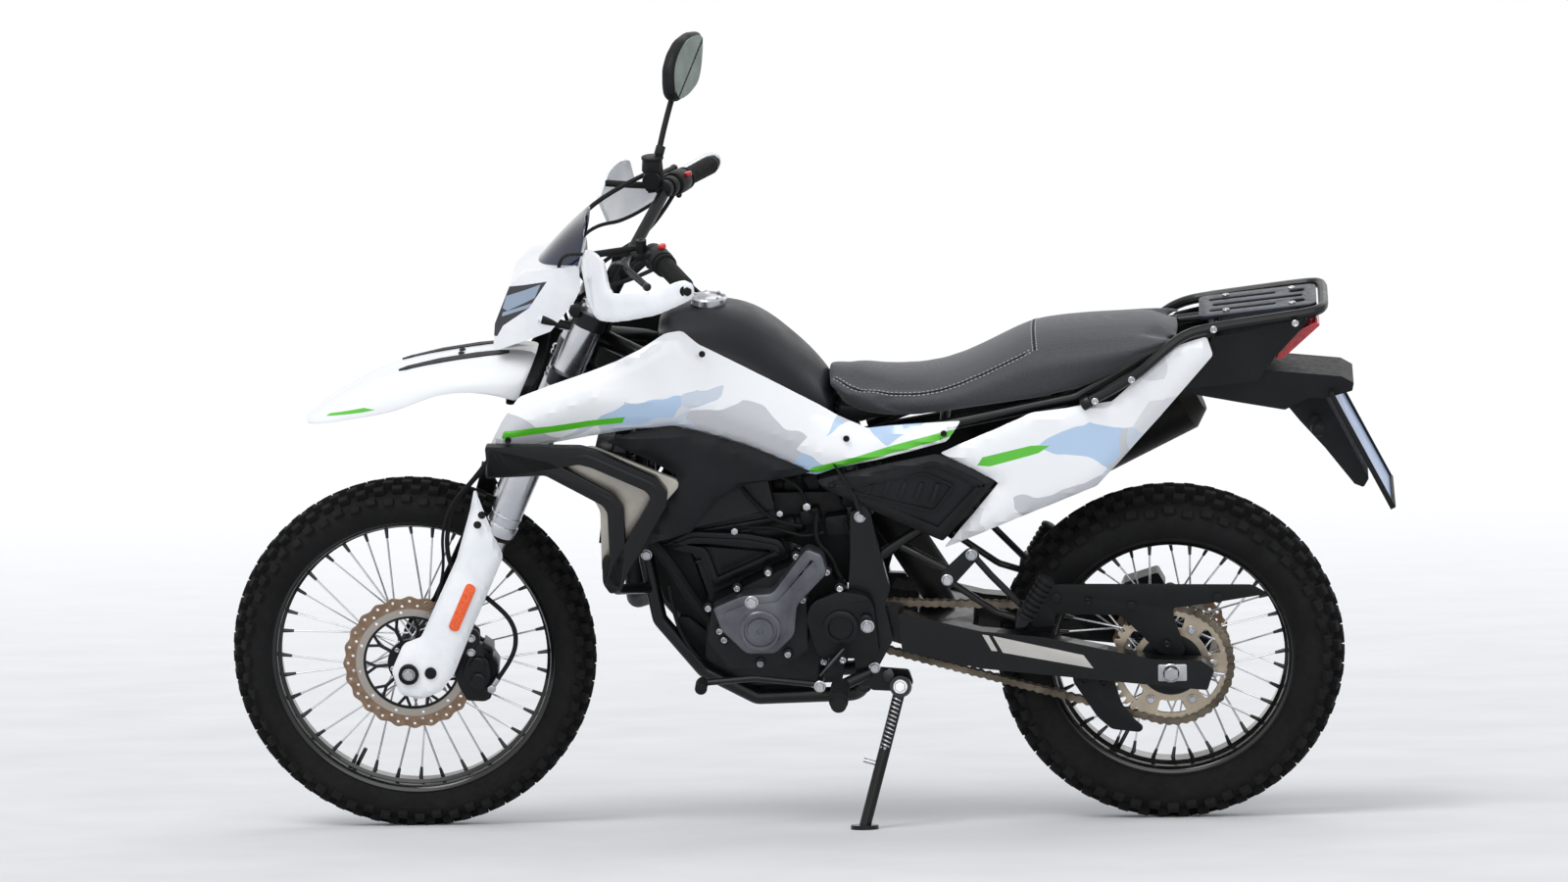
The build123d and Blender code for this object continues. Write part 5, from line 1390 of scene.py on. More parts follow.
fairing_side = slope(((500, ((-400, 196), (-200, 184), (80, 140))),
                      (860, ((-400, 206), (-200, 192), (80, 146)))))
tail_side = slope(((560, ((280, 131), (450, 133), (620, 129), (800, 99))),
                   (1000, ((280, 143), (450, 148), (620, 141), (800, 113)))))
cover_side = slope(((560, ((0, 138), (200, 140), (420, 132))), (800, ((0, 149), (200, 149), (420, 139)))))
# piece, outline, side, finish, grid cell, corner, depth and width of its curled rim, slot, node,
# smoothing angle
BODY_SKINS = (
    ("shroud_panels", SHROUD, shroud_side, "camouflage_film", 13, 5, 10, 12, "white_panel", "side_shrouds",
     25),
    ("lower_fairing_panels", LOWER_FAIRING, fairing_side, "grained_grey_plastic", 18, 5, 12, 14,
     "dark_grey_plastic", "lower_fairings", 30),
    ("tail_side_panels", TAIL_PANEL, tail_side, "camouflage_film", 18, 5, 10, 12, "white_panel",
     "tail_panels", 30),
    ("side_cover_panels", SIDE_COVER, cover_side, "grained_grey_plastic", 18, 6, 10, 12, "dark_grey_plastic",
     "side_covers", 30),
)


def panel_pieces():
    """The body panels, the covers' borders and vents, and the crash bars' bands."""
    for name, outline, side, outer, cell, corner, curl, rim_width, slot, node, angle in BODY_SKINS:
        piece = skin(outline, side, outer, 4, cell, corner, curl, rim_width)
        ready(piece, name, outer, "chassis", [node], angle)
    borders, slats, panels, bands, pads = [], [], [], [], []
    for side in (-1, 1):
        for outline, y, width in ((SIDE_COVER, 143, 12), (COVER_FIELD, 146, 5)):
            cx, cz = (sum(values) / len(outline) for values in zip(*outline))
            inner = [(cx + (x - cx) * 0.90, cz + (z - cz) * 0.84) for x, z in outline]
            borders.append(plate(inner, side * (y - 4), side * (y + 3), 8, 2.0, width))
        for i in range(5):
            x, low, high = 150 + i * 30, 690 - i * 4, 716 - i * 2
            slat = ((x, low), (x + 9, low), (x + 22, high), (x + 13, high))
            slats.append(plate(slat, side * 141, side * 149, 2))
        panels.append(plate(SILVER_PANEL, side * 212, side * 224, 6, 3.5))
        for run in CRASH_RUNS:
            bands.append(plate(ribbon(run, 31), side * 223, side * 247, 5, 6))
        pads.append(plate(BAR_END_PAD, side * 212, side * 242, 7, 4))
    ready(borders, "side_cover_borders", "grained_black_plastic", "chassis")
    ready(slats, "side_cover_vents", "grained_grey_plastic", "chassis")
    ready(panels, "silver_side_panels", "painted_silver_panel", "chassis", ["radiator_panels"])
    ready(bands, "crash_bar_bands", "powder_coated_steel", "chassis")
    ready(pads, "bar_end_pads", "grained_black_plastic", "chassis")
    fasteners("panel_bolts", socket_bolt(12, 4), rows_both(PANEL_BOLTS), "chassis", *BLACK_BOLTS)


RACK_PLATE = ((-109, -69), (109, -69), (109, 69), (-109, 69))   # along the rack, across it
# the middle of each slot in it, half its length and half its width
RACK_SLOTS = ((0, 0, 84, 7), (-28, 36, 62, 6), (-28, -36, 62, 6), (74, 34, 14, 10), (74, -34, 14, 10))
# the left half of the rack's one bent tube, front to rear
RACK_RAIL = (
    (560, -143, 858), (637, -141, 893), (712, -130, 957), (744, -114, 977), (780, -107, 987),
    (887, -103, 1002), (972, -101, 1013), (997, -90, 1017), (1003, -66, 1018), (1003, -30, 1018),
)
RACK_TILT = -6.1   # degrees


def rack_piece():
    """The carrier: one bent tube behind the seat, its cross stays, and a pressed plate with long slots."""
    tubes = [hose(list(RACK_RAIL) + mirrored(RACK_RAIL), 19)]
    for x, z in ((806, 988), (958, 1004)):
        tubes.append(bar((x, -105, z), (x, 105, z), 13))
    for side in (-1, 1):
        tubes.append(bar((806, side * 62, 988), (801, side * 62, 960), 13))
        tubes.append(bar((572, side * 143, 864), (555, side * 143, 855), 25, 28, 3))
    ready(tubes, "rack_rail", "powder_coated_steel", "chassis", ["rear_rack"])
    place = Matrix.Translation(at(882, 0, 1009)) @ Matrix.Rotation(math.radians(RACK_TILT), 4, "Y")
    piece = pressed(RACK_PLATE, -6, 2, place, 16, 0)
    tools = []
    for u, v, half, wide in RACK_SLOTS:
        corners = ((u - half, v - wide), (u + half, v - wide), (u + half, v + wide), (u - half, v + wide))
        tools.append(pressed(corners, -9, 9, place, min(half, wide) * 0.9, 0))
    cut(piece, joined(tools))
    soften(piece, 1.2, 2, 40)
    ready(piece, "rack_plate", "satin_rack_paint", "chassis", (), 30)


PLATE_SIDE = ((1012, 850), (1021, 854), (1133, 634), (1124, 629))
TAIL_LENS = ((990, 986), (960, 973), (922, 940), (914, 914), (925, 914), (997, 980))


def tail_pieces():
    """The rack, the number plate's border, the tail lamp, signal stubs and bolts."""
    rack_piece()
    frames = [plate(PLATE_SIDE, side * 88, side * 94, 1) for side in (-1, 1)]
    for x, z in ((1016.5, 852), (1128.5, 635.5)):
        frames.append(bar((x, -92, z), (x, 92, z), 9, 12))
    ready(frames, "plate_borders", "grained_black_plastic", "chassis")
    lens = plate(TAIL_LENS, -68, 68, 3, 2)
    ready(lens, "tail_lamp_lens", "red_lamp_lens", "chassis", ["tail_light"])
    stubs = []
    for side in (-1, 1):
        stubs.append(bar((985, side * 30, 790), (990, side * 92, 790), 17, 24, 2))
        for y in (42, 51, 60, 69, 78):
            stubs.append(bar((986, side * y - 2, 790), (986, side * y + 2, 790), 21))
        stubs.append(bar((990, side * 90, 790), (992, side * 116, 790), 30, 28, 6, 24))
    ready(stubs, "rear_signal_stubs", "moulded_rubber", "chassis")
    bolts = rows([(1030, -22, 806), (1030, 22, 806)], (0.89, 0, 0.45))
    bolts += rows_both([(800, 118, 990), (950, 118, 1000)])
    bolts += rows([(824, -50, 1003), (824, 50, 1003), (946, -50, 1015), (946, 50, 1015)], (-0.1, 0, 1))
    bolts += rows_both([(580, 152, 866), (648, 152, 906)])
    fasteners("tail_bolts", socket_bolt(13, 6), bolts, "chassis")


# ---- seat ----------------------------------------------------------------------------------
# x, low z, low half width, middle z, middle half width, top z, top half width
SEAT_STATIONS = (
    (86, 882, 48, 892, 58, 905, 42), (112, 834, 62, 868, 80, 906, 58), (160, 822, 78, 858, 98, 889, 74),
    (213, 820, 92, 852, 112, 881, 88), (302, 832, 108, 857, 125, 884, 98), (377, 843, 114, 880, 131, 917, 101),
    (440, 852, 116, 908, 132, 951, 100), (480, 857, 115, 922, 133, 966, 99), (570, 880, 112, 936, 132, 974, 98),
    (660, 930, 107, 956, 128, 977, 96), (717, 958, 104, 970, 120, 976, 91), (742, 966, 96, 971, 112, 972, 84),
)


def body_section(x, low_z, low_half, mid_z, mid_half, top_z, top_half, drop=14):
    """One section of a crowned body: flat below, widest at the middle, its shoulders drop below the crown."""
    edge = top_z - drop
    left = [(x, -low_half * 0.5, low_z), (x, -low_half, low_z + 1), (x, -mid_half * 0.99, mid_z - 10),
            (x, -mid_half, mid_z + 2), (x, -(mid_half + top_half) / 2 - 4, (mid_z + edge) / 2 + 5),
            (x, -top_half * 0.94, edge), (x, -top_half * 0.5, top_z)]
    return left + [(x, 0, top_z + 3)] + mirrored(left) + [(x, 0, low_z)]


# x, half width of the sewn seam
SEAT_SEAM = (
    (98, 50), (120, 68), (150, 82), (200, 94), (260, 99), (330, 101), (400, 103), (440, 103), (464, 99),
)
SWELL_FRAMES = 20
SWELL_CAP = 7 * MM          # the furthest that the cover stands off its foam
SEAT_BASE_Z = 872           # under this, and within SEAT_BASE_HALF of the middle, it stays put
SEAT_BASE_HALF = 100


def swell(piece):
    """Puffs the cover out against its foam with a short cloth run, never further than the cap."""
    modify(piece, "REMESH", mode="VOXEL", voxel_size=6 * MM)
    rest = [vertex.co.copy() for vertex in piece.data.vertices]
    only(piece)
    cloth = piece.modifiers.new("Cover", "CLOTH")
    cloth.settings.use_pressure = True
    cloth.settings.uniform_pressure_force = 4
    cloth.settings.effector_weights.gravity = 0
    cloth.point_cache.frame_start = 1
    cloth.point_cache.frame_end = SWELL_FRAMES
    scene = bpy.context.scene
    for number in range(1, SWELL_FRAMES + 1):
        scene.frame_set(number)
    bpy.ops.object.modifier_apply(modifier=cloth.name)
    scene.frame_set(1)
    for vertex, start in zip(piece.data.vertices, rest):
        move = vertex.co - start
        low = start.z / MM < SEAT_BASE_Z and abs(start.y) / MM < SEAT_BASE_HALF
        if move.length > SWELL_CAP or low:
            vertex.co = start + move * (0.0 if low else SWELL_CAP / move.length)
    modify(piece, "SMOOTH", factor=0.5, iterations=6)
    modify(piece, "SUBSURF", levels=1, render_levels=1)


def on_top(piece, x, y):
    """The highest point of a piece at (x, y), and its normal there."""
    hit, place, normal, _ = piece.ray_cast(at(x, y, 1300), Vector((0, 0, -1)))
    if not hit:
        raise RuntimeError(f"nothing of {piece.name} lies at {x}, {y}")
    return place / MM, normal


def stitch_line(line, spacing, offset):
    """Stitches of thread laid along a line of (point, normal), to one side of it."""
    places, carried = [], 0.0
    for (a, normal), (b, _) in zip(line, line[1:]):
        run = b - a
        length = run.length
        while carried < length:
            way = run.normalized()
            side = way.cross(normal).normalized()
            places.append((a + way * carried + side * offset + normal * 0.4, way))
            carried += spacing
        carried -= length
    return places


def seam_lines(piece):
    """The seams of the cover as lines of (point, normal): one along each side, one over the step."""
    lines = []
    for side in (-1, 1):
        line = []
        for (xa, ya), (xb, yb) in zip(SEAT_SEAM, SEAT_SEAM[1:]):
            for i in range(6):
                line.append(on_top(piece, xa + (xb - xa) * i / 6, side * (ya + (yb - ya) * i / 6)))
        lines.append(line)
    across = [-99 + 198 * i / 30 for i in range(31)]
    lines.append([on_top(piece, 466 + 4 * (y / 99) ** 2, y) for y in across])
    return lines


def seat_pieces():
    """The padded cover, with its piping and its twin rows of stitches."""
    piece = lofted([body_section(*row) for row in SEAT_STATIONS])
    soften(piece, 6, 3, 40)
    modify(piece, "SUBSURF", levels=1, render_levels=1)
    swell(piece)
    piping, threads = [], []
    for line in seam_lines(piece):
        piping.append(hose([place + normal * -0.4 for place, normal in line[::3]], 3.6))
        for offset in (-4.0, 4.0):
            threads.extend(stitch_line(line, 8.5, offset))
    ready(piping, "seat_piping", "moulded_rubber", "chassis")
    stitch = bar((-2.6, 0, 0), (2.6, 0, 0), 1.7, 8, 0.5)
    stitch.data.transform(Matrix.Rotation(math.radians(-90), 4, "Y"))
    fasteners("seat_stitches", stitch, threads, "chassis", "pale_thread", "seat_vinyl")
    ready(piece, "seat_cover", "embossed_seat_vinyl", "chassis", ["seat"], 60)


# ---- engine --------------------------------------------------------------------------------
GENERATOR = (
    (-138, 477), (-123, 431), (-77, 384), (-22, 384), (15, 421), (21, 479), (78, 540), (71, 578), (40, 591),
    (-26, 504), (-81, 501),
)
SPROCKET_COVER = ((35, 449), (48, 482), (100, 502), (151, 493), (162, 472), (171, 368), (57, 373))
CYLINDER_COVER = ((-163, 557), (-141, 490), (4, 555), (-11, 584), (-71, 597), (-177, 603), (-238, 574))
HEAD_COVER = ((-206, 690), (-48, 728), (-54, 758), (-90, 764), (-200, 734), (-214, 716))
# turned parts of the covers: profile of (radius, y), axis at (x, z), steps
GREY_TURNED = (
    (((39, -160), (39, -172), (36, -175), (31, -175), (30, -171), (25, -171), (24, -175), (6, -176), (5, -174),
      (0.5, -174), (0.5, -160)), (-49, 434), 64),
    (((86, 101), (86, 142), (80, 150), (56, 150), (54, 158), (30, 160), (0.5, 160), (0.5, 101)), (0, 430), 72),
    (((36, 101), (36, 134), (32, 139), (12, 140), (0.5, 140), (0.5, 101)), (-100, 370), 48),
)
BLACK_TURNED = (
    (((34, -149), (33, -155), (28, -157), (24, -157), (22, -152), (0.5, -152), (0.5, -148)), (100, 432), 48),
    (((11, -149), (11, -158), (8, -160), (0.5, -160), (0.5, -149)), (148, 447), 32),
)
# x, how far out, z
COVER_BOLTS = (
    (-147, 132, 468), (-127, 132, 423), (-119, 132, 406), (30, 132, 482), (76, 132, 536), (20, 132, 567),
    (-33, 132, 536), (-92, 132, 506), (-1, 132, 376), (-53, 132, 358), (100, 146, 508), (102, 146, 368),
    (66, 132, 360),
)
# dark parts on and round the engine: a bar's two ends, diameter, sides and edge
ENGINE_BARS = (
    ((-78, -52, 582), (18, -52, 606), 46, 40, 4), ((18, -52, 606), (30, -52, 609), 38, 40, 3),
    ((-24, -8, 668), (6, -8, 672), 50, 40, 3), ((58, -8, 676), (112, -8, 690), 54, 40, 3),
    ((-60, -46, 740), (-28, -46, 748), 34, 32, 3), ((40, -20, 598), (40, -20, 622), 30, 32, 3),
)
# throttle body, airbox, relay, canister, battery tray, oil cooler, seat tray, sump and clip:
# outline, from y to y, corner and edge
ENGINE_BOXES = (
    (((0, 640), (66, 656), (58, 700), (-8, 684)), -42, 24, 8, 4),
    (((104, 640), (150, 640), (154, 740), (110, 748)), -70, 70, 10, 4),
    (((30, 610), (66, 618), (60, 646), (26, 638)), -86, -58, 4, 2),
    (((76, 590), (122, 596), (116, 634), (72, 628)), -92, -56, 6, 3),
    (((-96, 668), (96, 668), (112, 636), (128, 563), (140, 484), (66, 494), (18, 566), (-86, 592),
      (-128, 590)), -58, 58, 8, 5),
    (((-246, 560), (-192, 580), (-150, 452), (-150, 384), (-190, 414), (-232, 452), (-248, 503)), -44, 44, 6,
     4),
    (((96, 806), (200, 816), (330, 828), (462, 846), (462, 866), (330, 846), (200, 832), (104, 838)), -68, 68,
     6, 4),
    (((-216, 396), (-158, 322), (-99, 283), (-64, 266), (36, 264), (36, 284), (20, 296), (16, 318),
      (-27, 326), (-97, 349), (-145, 387), (-189, 424), (-210, 424)), -52, 52, 6, 4),
    (((-40, 700), (0, 708), (-4, 722), (-44, 714)), -92, -78, 3, 2),
)
# two coolant hoses, breather, drain, four leads and the overflow: diameter, then the guiding points
ENGINE_HOSES = (
    (24, (-306, -70, 750), (-270, -66, 770), (-200, -56, 768), (-120, -50, 756), (-60, -46, 742)),
    (24, (-306, -70, 616), (-262, -96, 600), (-214, -96, 540), (-180, -82, 470), (-140, -76, 420),
     (-120, -72, 400)),
    (14, (40, -20, 622), (44, -30, 660), (20, -60, 690), (40, -76, 740), (90, -80, 770)),
    (9, (60, -96, 640), (50, -102, 590), (84, -110, 560), (96, -104, 520), (110, -110, 500)),
    (8, (-130, -70, 740), (-90, -88, 700), (-60, -92, 660), (-20, -92, 620), (30, -92, 612)),
    (7, (-30, -88, 716), (20, -90, 700), (40, -88, 660), (48, -86, 632)),
    (7, (70, -92, 600), (40, -98, 592), (10, -94, 600), (-30, -84, 610), (-70, -80, 606)),
    (8, (110, -92, 620), (130, -104, 580), (118, -110, 520), (124, -116, 470), (112, -118, 440)),
    (8, (-150, -66, 330), (-170, -84, 350), (-196, -90, 390), (-214, -92, 440), (-222, -92, 500)),
)
# hose clips, banjo, two sensors and a union
BRIGHT_BARS = (
    ((-268, -67, 771), (-290, -68, 762), 27, 32, 0.6), ((-62, -46, 743), (-74, -47, 746), 27, 32, 0.6),
    ((-284, -82, 607), (-274, -88, 604), 27, 32, 0.6), ((40, -84, 650), (40, -96, 650), 16, 6, 1),
    ((-96, -84, 604), (-96, -96, 604), 14, 6, 1), ((-10, -92, 640), (-10, -104, 640), 13, 6, 1),
    ((22, -84, 566), (22, -104, 566), 15, 24, 2),
)


def shrunk(outline, by):
    """An outline moved inwards by a distance, corner by corner."""
    area = sum(ax * bz - bx * az for (ax, az), (bx, bz) in zip(outline, outline[1:] + outline[:1]))
    turn_way = 1 if area > 0 else -1
    moved = []
    count = len(outline)
    for i in range(count):
        before, here, after = Vector(outline[i - 1]), Vector(outline[i]), Vector(outline[(i + 1) % count])
        a, b = (here - before).normalized(), (after - here).normalized()
        na, nb = Vector((-a.y, a.x)) * turn_way, Vector((-b.y, b.x)) * turn_way
        middle = na + nb
        middle = middle / max(0.35, middle.dot(na))
        moved.append(tuple(here + middle * by))
    return moved


def engine_pieces():
    """The engine's covers, bolts, fins, fittings and hoses."""
    covers = [plate(GENERATOR, -127, -163, 9, 7), plate(GENERATOR, -126, -136, 9, 1.5),
              plate(shrunk(GENERATOR, 17), -158, -167, 7, 3)] + [spun(*row) for row in GREY_TURNED]
    ready(covers, "grey_side_covers", "grey_engine_paint", "chassis",
          ["engine_side_covers"], 30)
    covers = [plate(SPROCKET_COVER, -127, -150, 12, 6)] + [spun(*row) for row in BLACK_TURNED]
    covers += [plate(CYLINDER_COVER, -67, -90, 9, 4), plate(shrunk(CYLINDER_COVER, 9), -88, -96, 7, 2, 9),
               plate(shrunk(CYLINDER_COVER, 26), -88, -93, 5, 2)]
    ready(covers, "black_side_covers", "black_engine_paint", "chassis",
          ["dark_engine_covers"], 30)
    lugs = [bar((x, -112, z), (x, -y, z), 19, 24, 2) for x, y, z in COVER_BOLTS]
    ready(lugs, "cover_lugs", "black_engine_paint", "chassis")
    fasteners("cover_bolts", socket_bolt(12, 9), rows([(x, -y, z) for x, y, z in COVER_BOLTS]), "chassis")
    fasteners("plug_bolt", hex_bolt(21, 8), rows([(-64, -166, 488), (150, -158, 436)]), "chassis")
    fins = []
    for i in range(6):
        x, z = -172 + -16 * i / 5, 535 + 70 * i / 5
        fins.append(plate(((x, z), (x + 158, z + 26), (x + 157, z + 32), (x - 1, z + 6)), -74, 74, 2))
    for i in range(9):
        x = -70 + i * 16
        fins.append(plate(((x, 293), (x + 5, 293), (x + 5, 310), (x, 310)), -62, 96, 1))
    fins.append(plate(HEAD_COVER, -62, 62, 8, 5))
    ready(fins, "engine_fins", "sand_cast_alloy", "chassis")
    fittings = [bar(*row) for row in ENGINE_BARS] + [plate(*row) for row in ENGINE_BOXES]
    ready(fittings, "engine_fittings", "grained_black_plastic", "chassis")
    ready([hose(line, size) for size, *line in ENGINE_HOSES], "engine_hoses", "moulded_rubber", "chassis")
    ready([bar(*row) for row in BRIGHT_BARS], "hose_clips", "zinc_plated_steel", "chassis")


RADIATOR_SLOPE = 0.14
RADIATOR_MIDDLE = 690   # the height about which the slope is taken


def radiator_pieces():
    """The louvred guards over both cores, and the tanks above and below them."""
    cores, tanks = [], []
    for y in (-95, 95):
        for i in range(15):
            z = 610 + i * 11.5
            x = -333 - (z - RADIATOR_MIDDLE) * RADIATOR_SLOPE
            louvre = ((x - 4, z), (x + 5, z + 5), (x + 5, z + 6.5), (x - 5, z + 1.5))
            cores.append(plate(louvre, y - 52, y + 52, 0, 0))
        for low, high in ((594, 608), (772, 786)):
            x = -318 - ((low + high) / 2 - RADIATOR_MIDDLE) * RADIATOR_SLOPE
            header = ((x - 17, low), (x + 17, low), (x + 17, high), (x - 17, high))
            tanks.append(plate(header, y - 56, y + 56, 3, 2))
    ready(cores, "radiator_louvres", "grained_black_plastic", "chassis")
    ready(tanks, "radiator_tanks", "black_engine_paint", "chassis")


# ---- swingarm, feet, stand -----------------------------------------------------------------
CHAIN_FIN = (
    (456, 486), (505, 494), (865, 488), (895, 470), (800, 455), (718, 445), (718, 431), (740, 359), (728, 347),
    (691, 357), (641, 410), (618, 432), (497, 436), (497, 412), (455, 410),
)
LOWER_FIN = (
    (529, 320), (606, 306), (611, 287), (620, 257), (643, 227), (660, 212), (654, 201), (600, 208), (573, 233),
    (529, 303),
)
ARM_LABELS = (
    ((382, 404), (550, 364), (568, 338), (400, 371)),
    ((362, 407), (374, 405), (390, 374), (379, 375)),
)
ADJUSTER_BLOCK = ((688, 312), (742, 312), (742, 345), (688, 345))


def swingarm_pieces():
    """Labels, chain adjusters, axle nuts, chain fins and the shock's spring."""
    labels = [plate(outline, -127.5, -129.2, 1, 0.3) for outline in ARM_LABELS]
    ready(labels, "swingarm_foils", "pale_foil_trim", "chassis")
    blocks = []
    for side in (-1, 1):
        blocks.append(plate(ADJUSTER_BLOCK, side * 127, side * 133, 3, 1.5))
        blocks.append(bar((768, side * 113, 322), (812, side * 113, 318), 8, 16, 0.5))
        blocks.append(bar((790, side * 113, 320), (798, side * 113, 319.3), 16, 6))
    ready(blocks, "chain_adjusters", "zinc_plated_steel", "chassis")
    fasteners("rear_axle_nuts", hex_bolt(30, 12), rows_both([(REAR_AXLE[0], 132, REAR_AXLE[1])]), "chassis")
    guards = [plate(CHAIN_FIN, -100, -94, 6, 2), plate(LOWER_FIN, -102, -96, 6, 2)]
    for x, z in ((500, 468), (802, 464), (640, 450)):
        guards.append(bar((x, -100, z), (x, -103, z), 20, 24, 1.5))
    ready(guards, "chain_fins", "grained_black_plastic", "chassis", ["chain_guards"], 30)
    screws = rows([(560, -102, 462), (706, -102, 376), (548, -102, 306), (586, -102, 300)])
    fasteners("guard_screws", socket_bolt(13, 5), screws, "chassis", *BLACK_BOLTS)
    low, top, side_b = Vector((280, 0, 460)), Vector((174, 0, 634)), Vector((0, 1, 0))
    side_a = (top - low).normalized().cross(side_b).normalized()
    spring = coil(low, top, side_a, side_b, 32, 7, 11)
    ready(spring, "shock_spring", "powder_coated_steel", "chassis")


def ribbed_peg(a, b, diameter, rings):
    """A rubber foot piece: a core under closely set rounded rings."""
    a, b = Vector(a), Vector(b)
    parts = [bar(a, b, diameter - 8)]
    for i in range(rings):
        middle = a + (b - a) * (i + 0.5) / rings
        half = (b - a) / rings * 0.34
        parts.append(bar(middle - half, middle + half, diameter, 28, 2))
    return joined(parts)


# the two tubes, the lug and the fork of each passenger peg's hanger, x and z
HANGER_TUBES = (((302, 520), (388, 458), (434, 443)), ((346, 572), (382, 528), (440, 466)))
HANGER_LUG = ((292, 512), (306, 504), (362, 566), (352, 584), (336, 580), (288, 534))
HANGER_FORK = ((424, 432), (446, 434), (458, 462), (446, 478), (430, 470))


def feet_pieces():
    """Foot rubbers, peg hangers, frame bolts and the shift linkage."""
    rubbers, hangers = [], []
    for side in (-1, 1):
        rubbers.append(ribbed_peg((442, side * 164, 450), (488, side * 164, 528), 33, 8))
        rubbers.append(ribbed_peg((97, side * 168, 322), (97, side * 260, 322), 36, 8))
    rubbers.append(ribbed_peg((-160, -186, 338), (-160, -224, 338), 23, 4))
    ready(rubbers, "foot_rubbers", "moulded_rubber", "chassis")
    for side in (-1, 1):
        y = side * 146
        for line in HANGER_TUBES:
            hangers.append(hose([(x, y, z) for x, z in line], 13, 2))
        hangers.append(plate(HANGER_LUG, y - 4, y + 4, 5, 2))
        hangers.append(plate(HANGER_FORK, side * 140, side * 170, 4, 3))
        hangers.append(bar((306, side * 142, 536), (215, side * 110, 576), 18, 24, 2))
    ready(hangers, "peg_hangers", "powder_coated_steel", "chassis", ["passenger_pegs"])
    bolts = rows_both([(300, 150, 522)]) + rows_both([(346, 150, 570)])
    bolts += rows([(140, -128, 640), (160, -128, 345), (138, -128, 330), (60, -190, 330), (-262, -90, 560)])
    fasteners("frame_bolts", hex_bolt(18, 8), bolts, "chassis")
    linkage = [bar((-64, -92, 340), (-76, -92, 340), 13, 20, 2), bar((60, -176, 345), (126, -132, 410), 8, 16),
               bar((186, -134, 332), (186, -150, 336), 22, 24, 2)]
    ready(linkage, "shift_linkage", "black_anodised_lever", "chassis")


STAND_PIVOT = Vector((209, -150, 314))
STAND_AXIS = Vector((-0.0515, -0.9477, 0.3149))
STAND_FOOT = Vector((138, -230, 62))


def stand_pieces():
    """The stand's hinge bolt, its spring and the hook and peg that ride with the leg."""
    pivot, axis = STAND_PIVOT, STAND_AXIS
    fasteners("stand_pivot_bolt", hex_bolt(22, 9), rows([pivot + axis * 13], axis), "stand")
    leg = (STAND_FOOT - pivot).normalized()
    root, tip = pivot + leg * 22 + axis * 12, pivot + leg * 118 + axis * 12
    side_a = leg.cross(axis).normalized()
    parts = [coil(root, tip, side_a, axis, 7, 12, 3), bar(tip - leg * 2, pivot + leg * 128, 6, 12),
             bar(pivot + leg * 150 + side_a * 8, pivot + leg * 150 + side_a * 34, 9, 16)]
    ready(parts, "stand_spring", "stainless_spoke_wire", "stand")


# ---- finishes of the solids that stay ------------------------------------------------------
# finish, then the nodes that keep their own mesh or stand behind a piece
CARRIED = (
    ("powder_coated_steel", "frame", "rear_subframe", "crash_bars", "rear_rack", "side_stand",
     "passenger_pegs", "foot_controls", "handlebar", "swingarm"),
    ("anodised_silver", "fork_tubes", "fork_legs", "tank_cap"),
    ("black_engine_paint", "triple_clamps", "front_caliper", "rear_caliper", "front_wheel", "rear_wheel",
     "radiator", "dark_engine_covers"),
    ("grained_black_plastic", "hand_controls", "mirror", "rear_fender", "chain_guards", "tail_cowl"),
    ("tyre_rubber", "front_tyre", "rear_tyre"),
    ("moulded_rubber", "grips", "brake_hose"),
    ("white_gloss_abs", "headlight_cowl", "front_fender", "hand_guards", "fork_guards"),
    ("satin_tank_paint", "fuel_tank"),
    ("camouflage_film", "side_shrouds", "tail_panels"),
    ("grained_grey_plastic", "side_covers", "lower_fairings"),
    ("heat_paint_black", "exhaust", "rear_shock"),
    ("sand_cast_alloy", "engine"),
    ("plate_sheet_blue", "licence_plate"),
    ("lamp_window", "headlight_lens"),
    ("embossed_seat_vinyl", "seat"),
    ("oiled_chain_steel", "chain"),
    ("front_disc_steel", "front_disc"),
    ("rear_disc_steel", "rear_disc"),
    ("machined_sprocket_steel", "rear_sprocket"),
    ("orange_reflector_plastic", "fork_reflectors"),
    ("red_lamp_lens", "tail_light"),
    ("painted_silver_panel", "radiator_panels"),
    ("grey_engine_paint", "engine_side_covers"),
    ("smoked_screen", "windscreen"),
)


def carried_finishes():
    """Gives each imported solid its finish, and leaves its mesh alone."""
    for finish_name, *names in CARRIED:
        for name in names:
            solid = bpy.data.objects[name]
            for held in solid.material_slots:
                held.material = finish(finish_name)
            if not solid.material_slots:
                solid.data.materials.append(finish(finish_name))


# ---- stage ---------------------------------------------------------------------------------
FLOOR_SIZE = 400.0         # metres
FLOOR_FADE = (3.0, 14.0)   # metres from the machine over which the floor pales
FLOOR_CLOUD = 1 / 3        # width of the floor's faint clouds, metres
FILM_WIDTH = 36.0          # mm
# lamp, where its light comes from, share of the main light, how wide the sky it fills
LAMPS = (
    ("key_light", (-3.0, -5.2, 7.0), 1.0, 28.0), ("side_light", (1.2, -8.0, 2.6), 0.55, 50.0),
    ("back_light", (2.0, 5.0, 6.0), 0.35, 50.0),
)


def floor_finish():
    """Smooth painted floor: pale, faintly mottled, fading into the background far from the machine."""
    material = bpy.data.materials.new("pale_studio_floor")
    material.use_nodes = True
    tree = material.node_tree
    shader = tree.nodes["Principled BSDF"]
    shader.inputs["Roughness"].default_value = 0.85
    shader.inputs["Specular IOR Level"].default_value = 0.1
    place = add_node(tree, "ShaderNodeTexCoord").outputs["Object"]
    near = clouded(tree, place, FLOOR_CLOUD, 0.3, 0.7, "floor", "#E2E3E4", 2.0)
    distance = add_node(tree, "ShaderNodeVectorMath", {"operation": "LENGTH"}, {0: place}).outputs["Value"]
    tree.links.new(laid_over(tree, near, "#FFFFFF", distance, *FLOOR_FADE), shader.inputs["Base Color"])
    return material


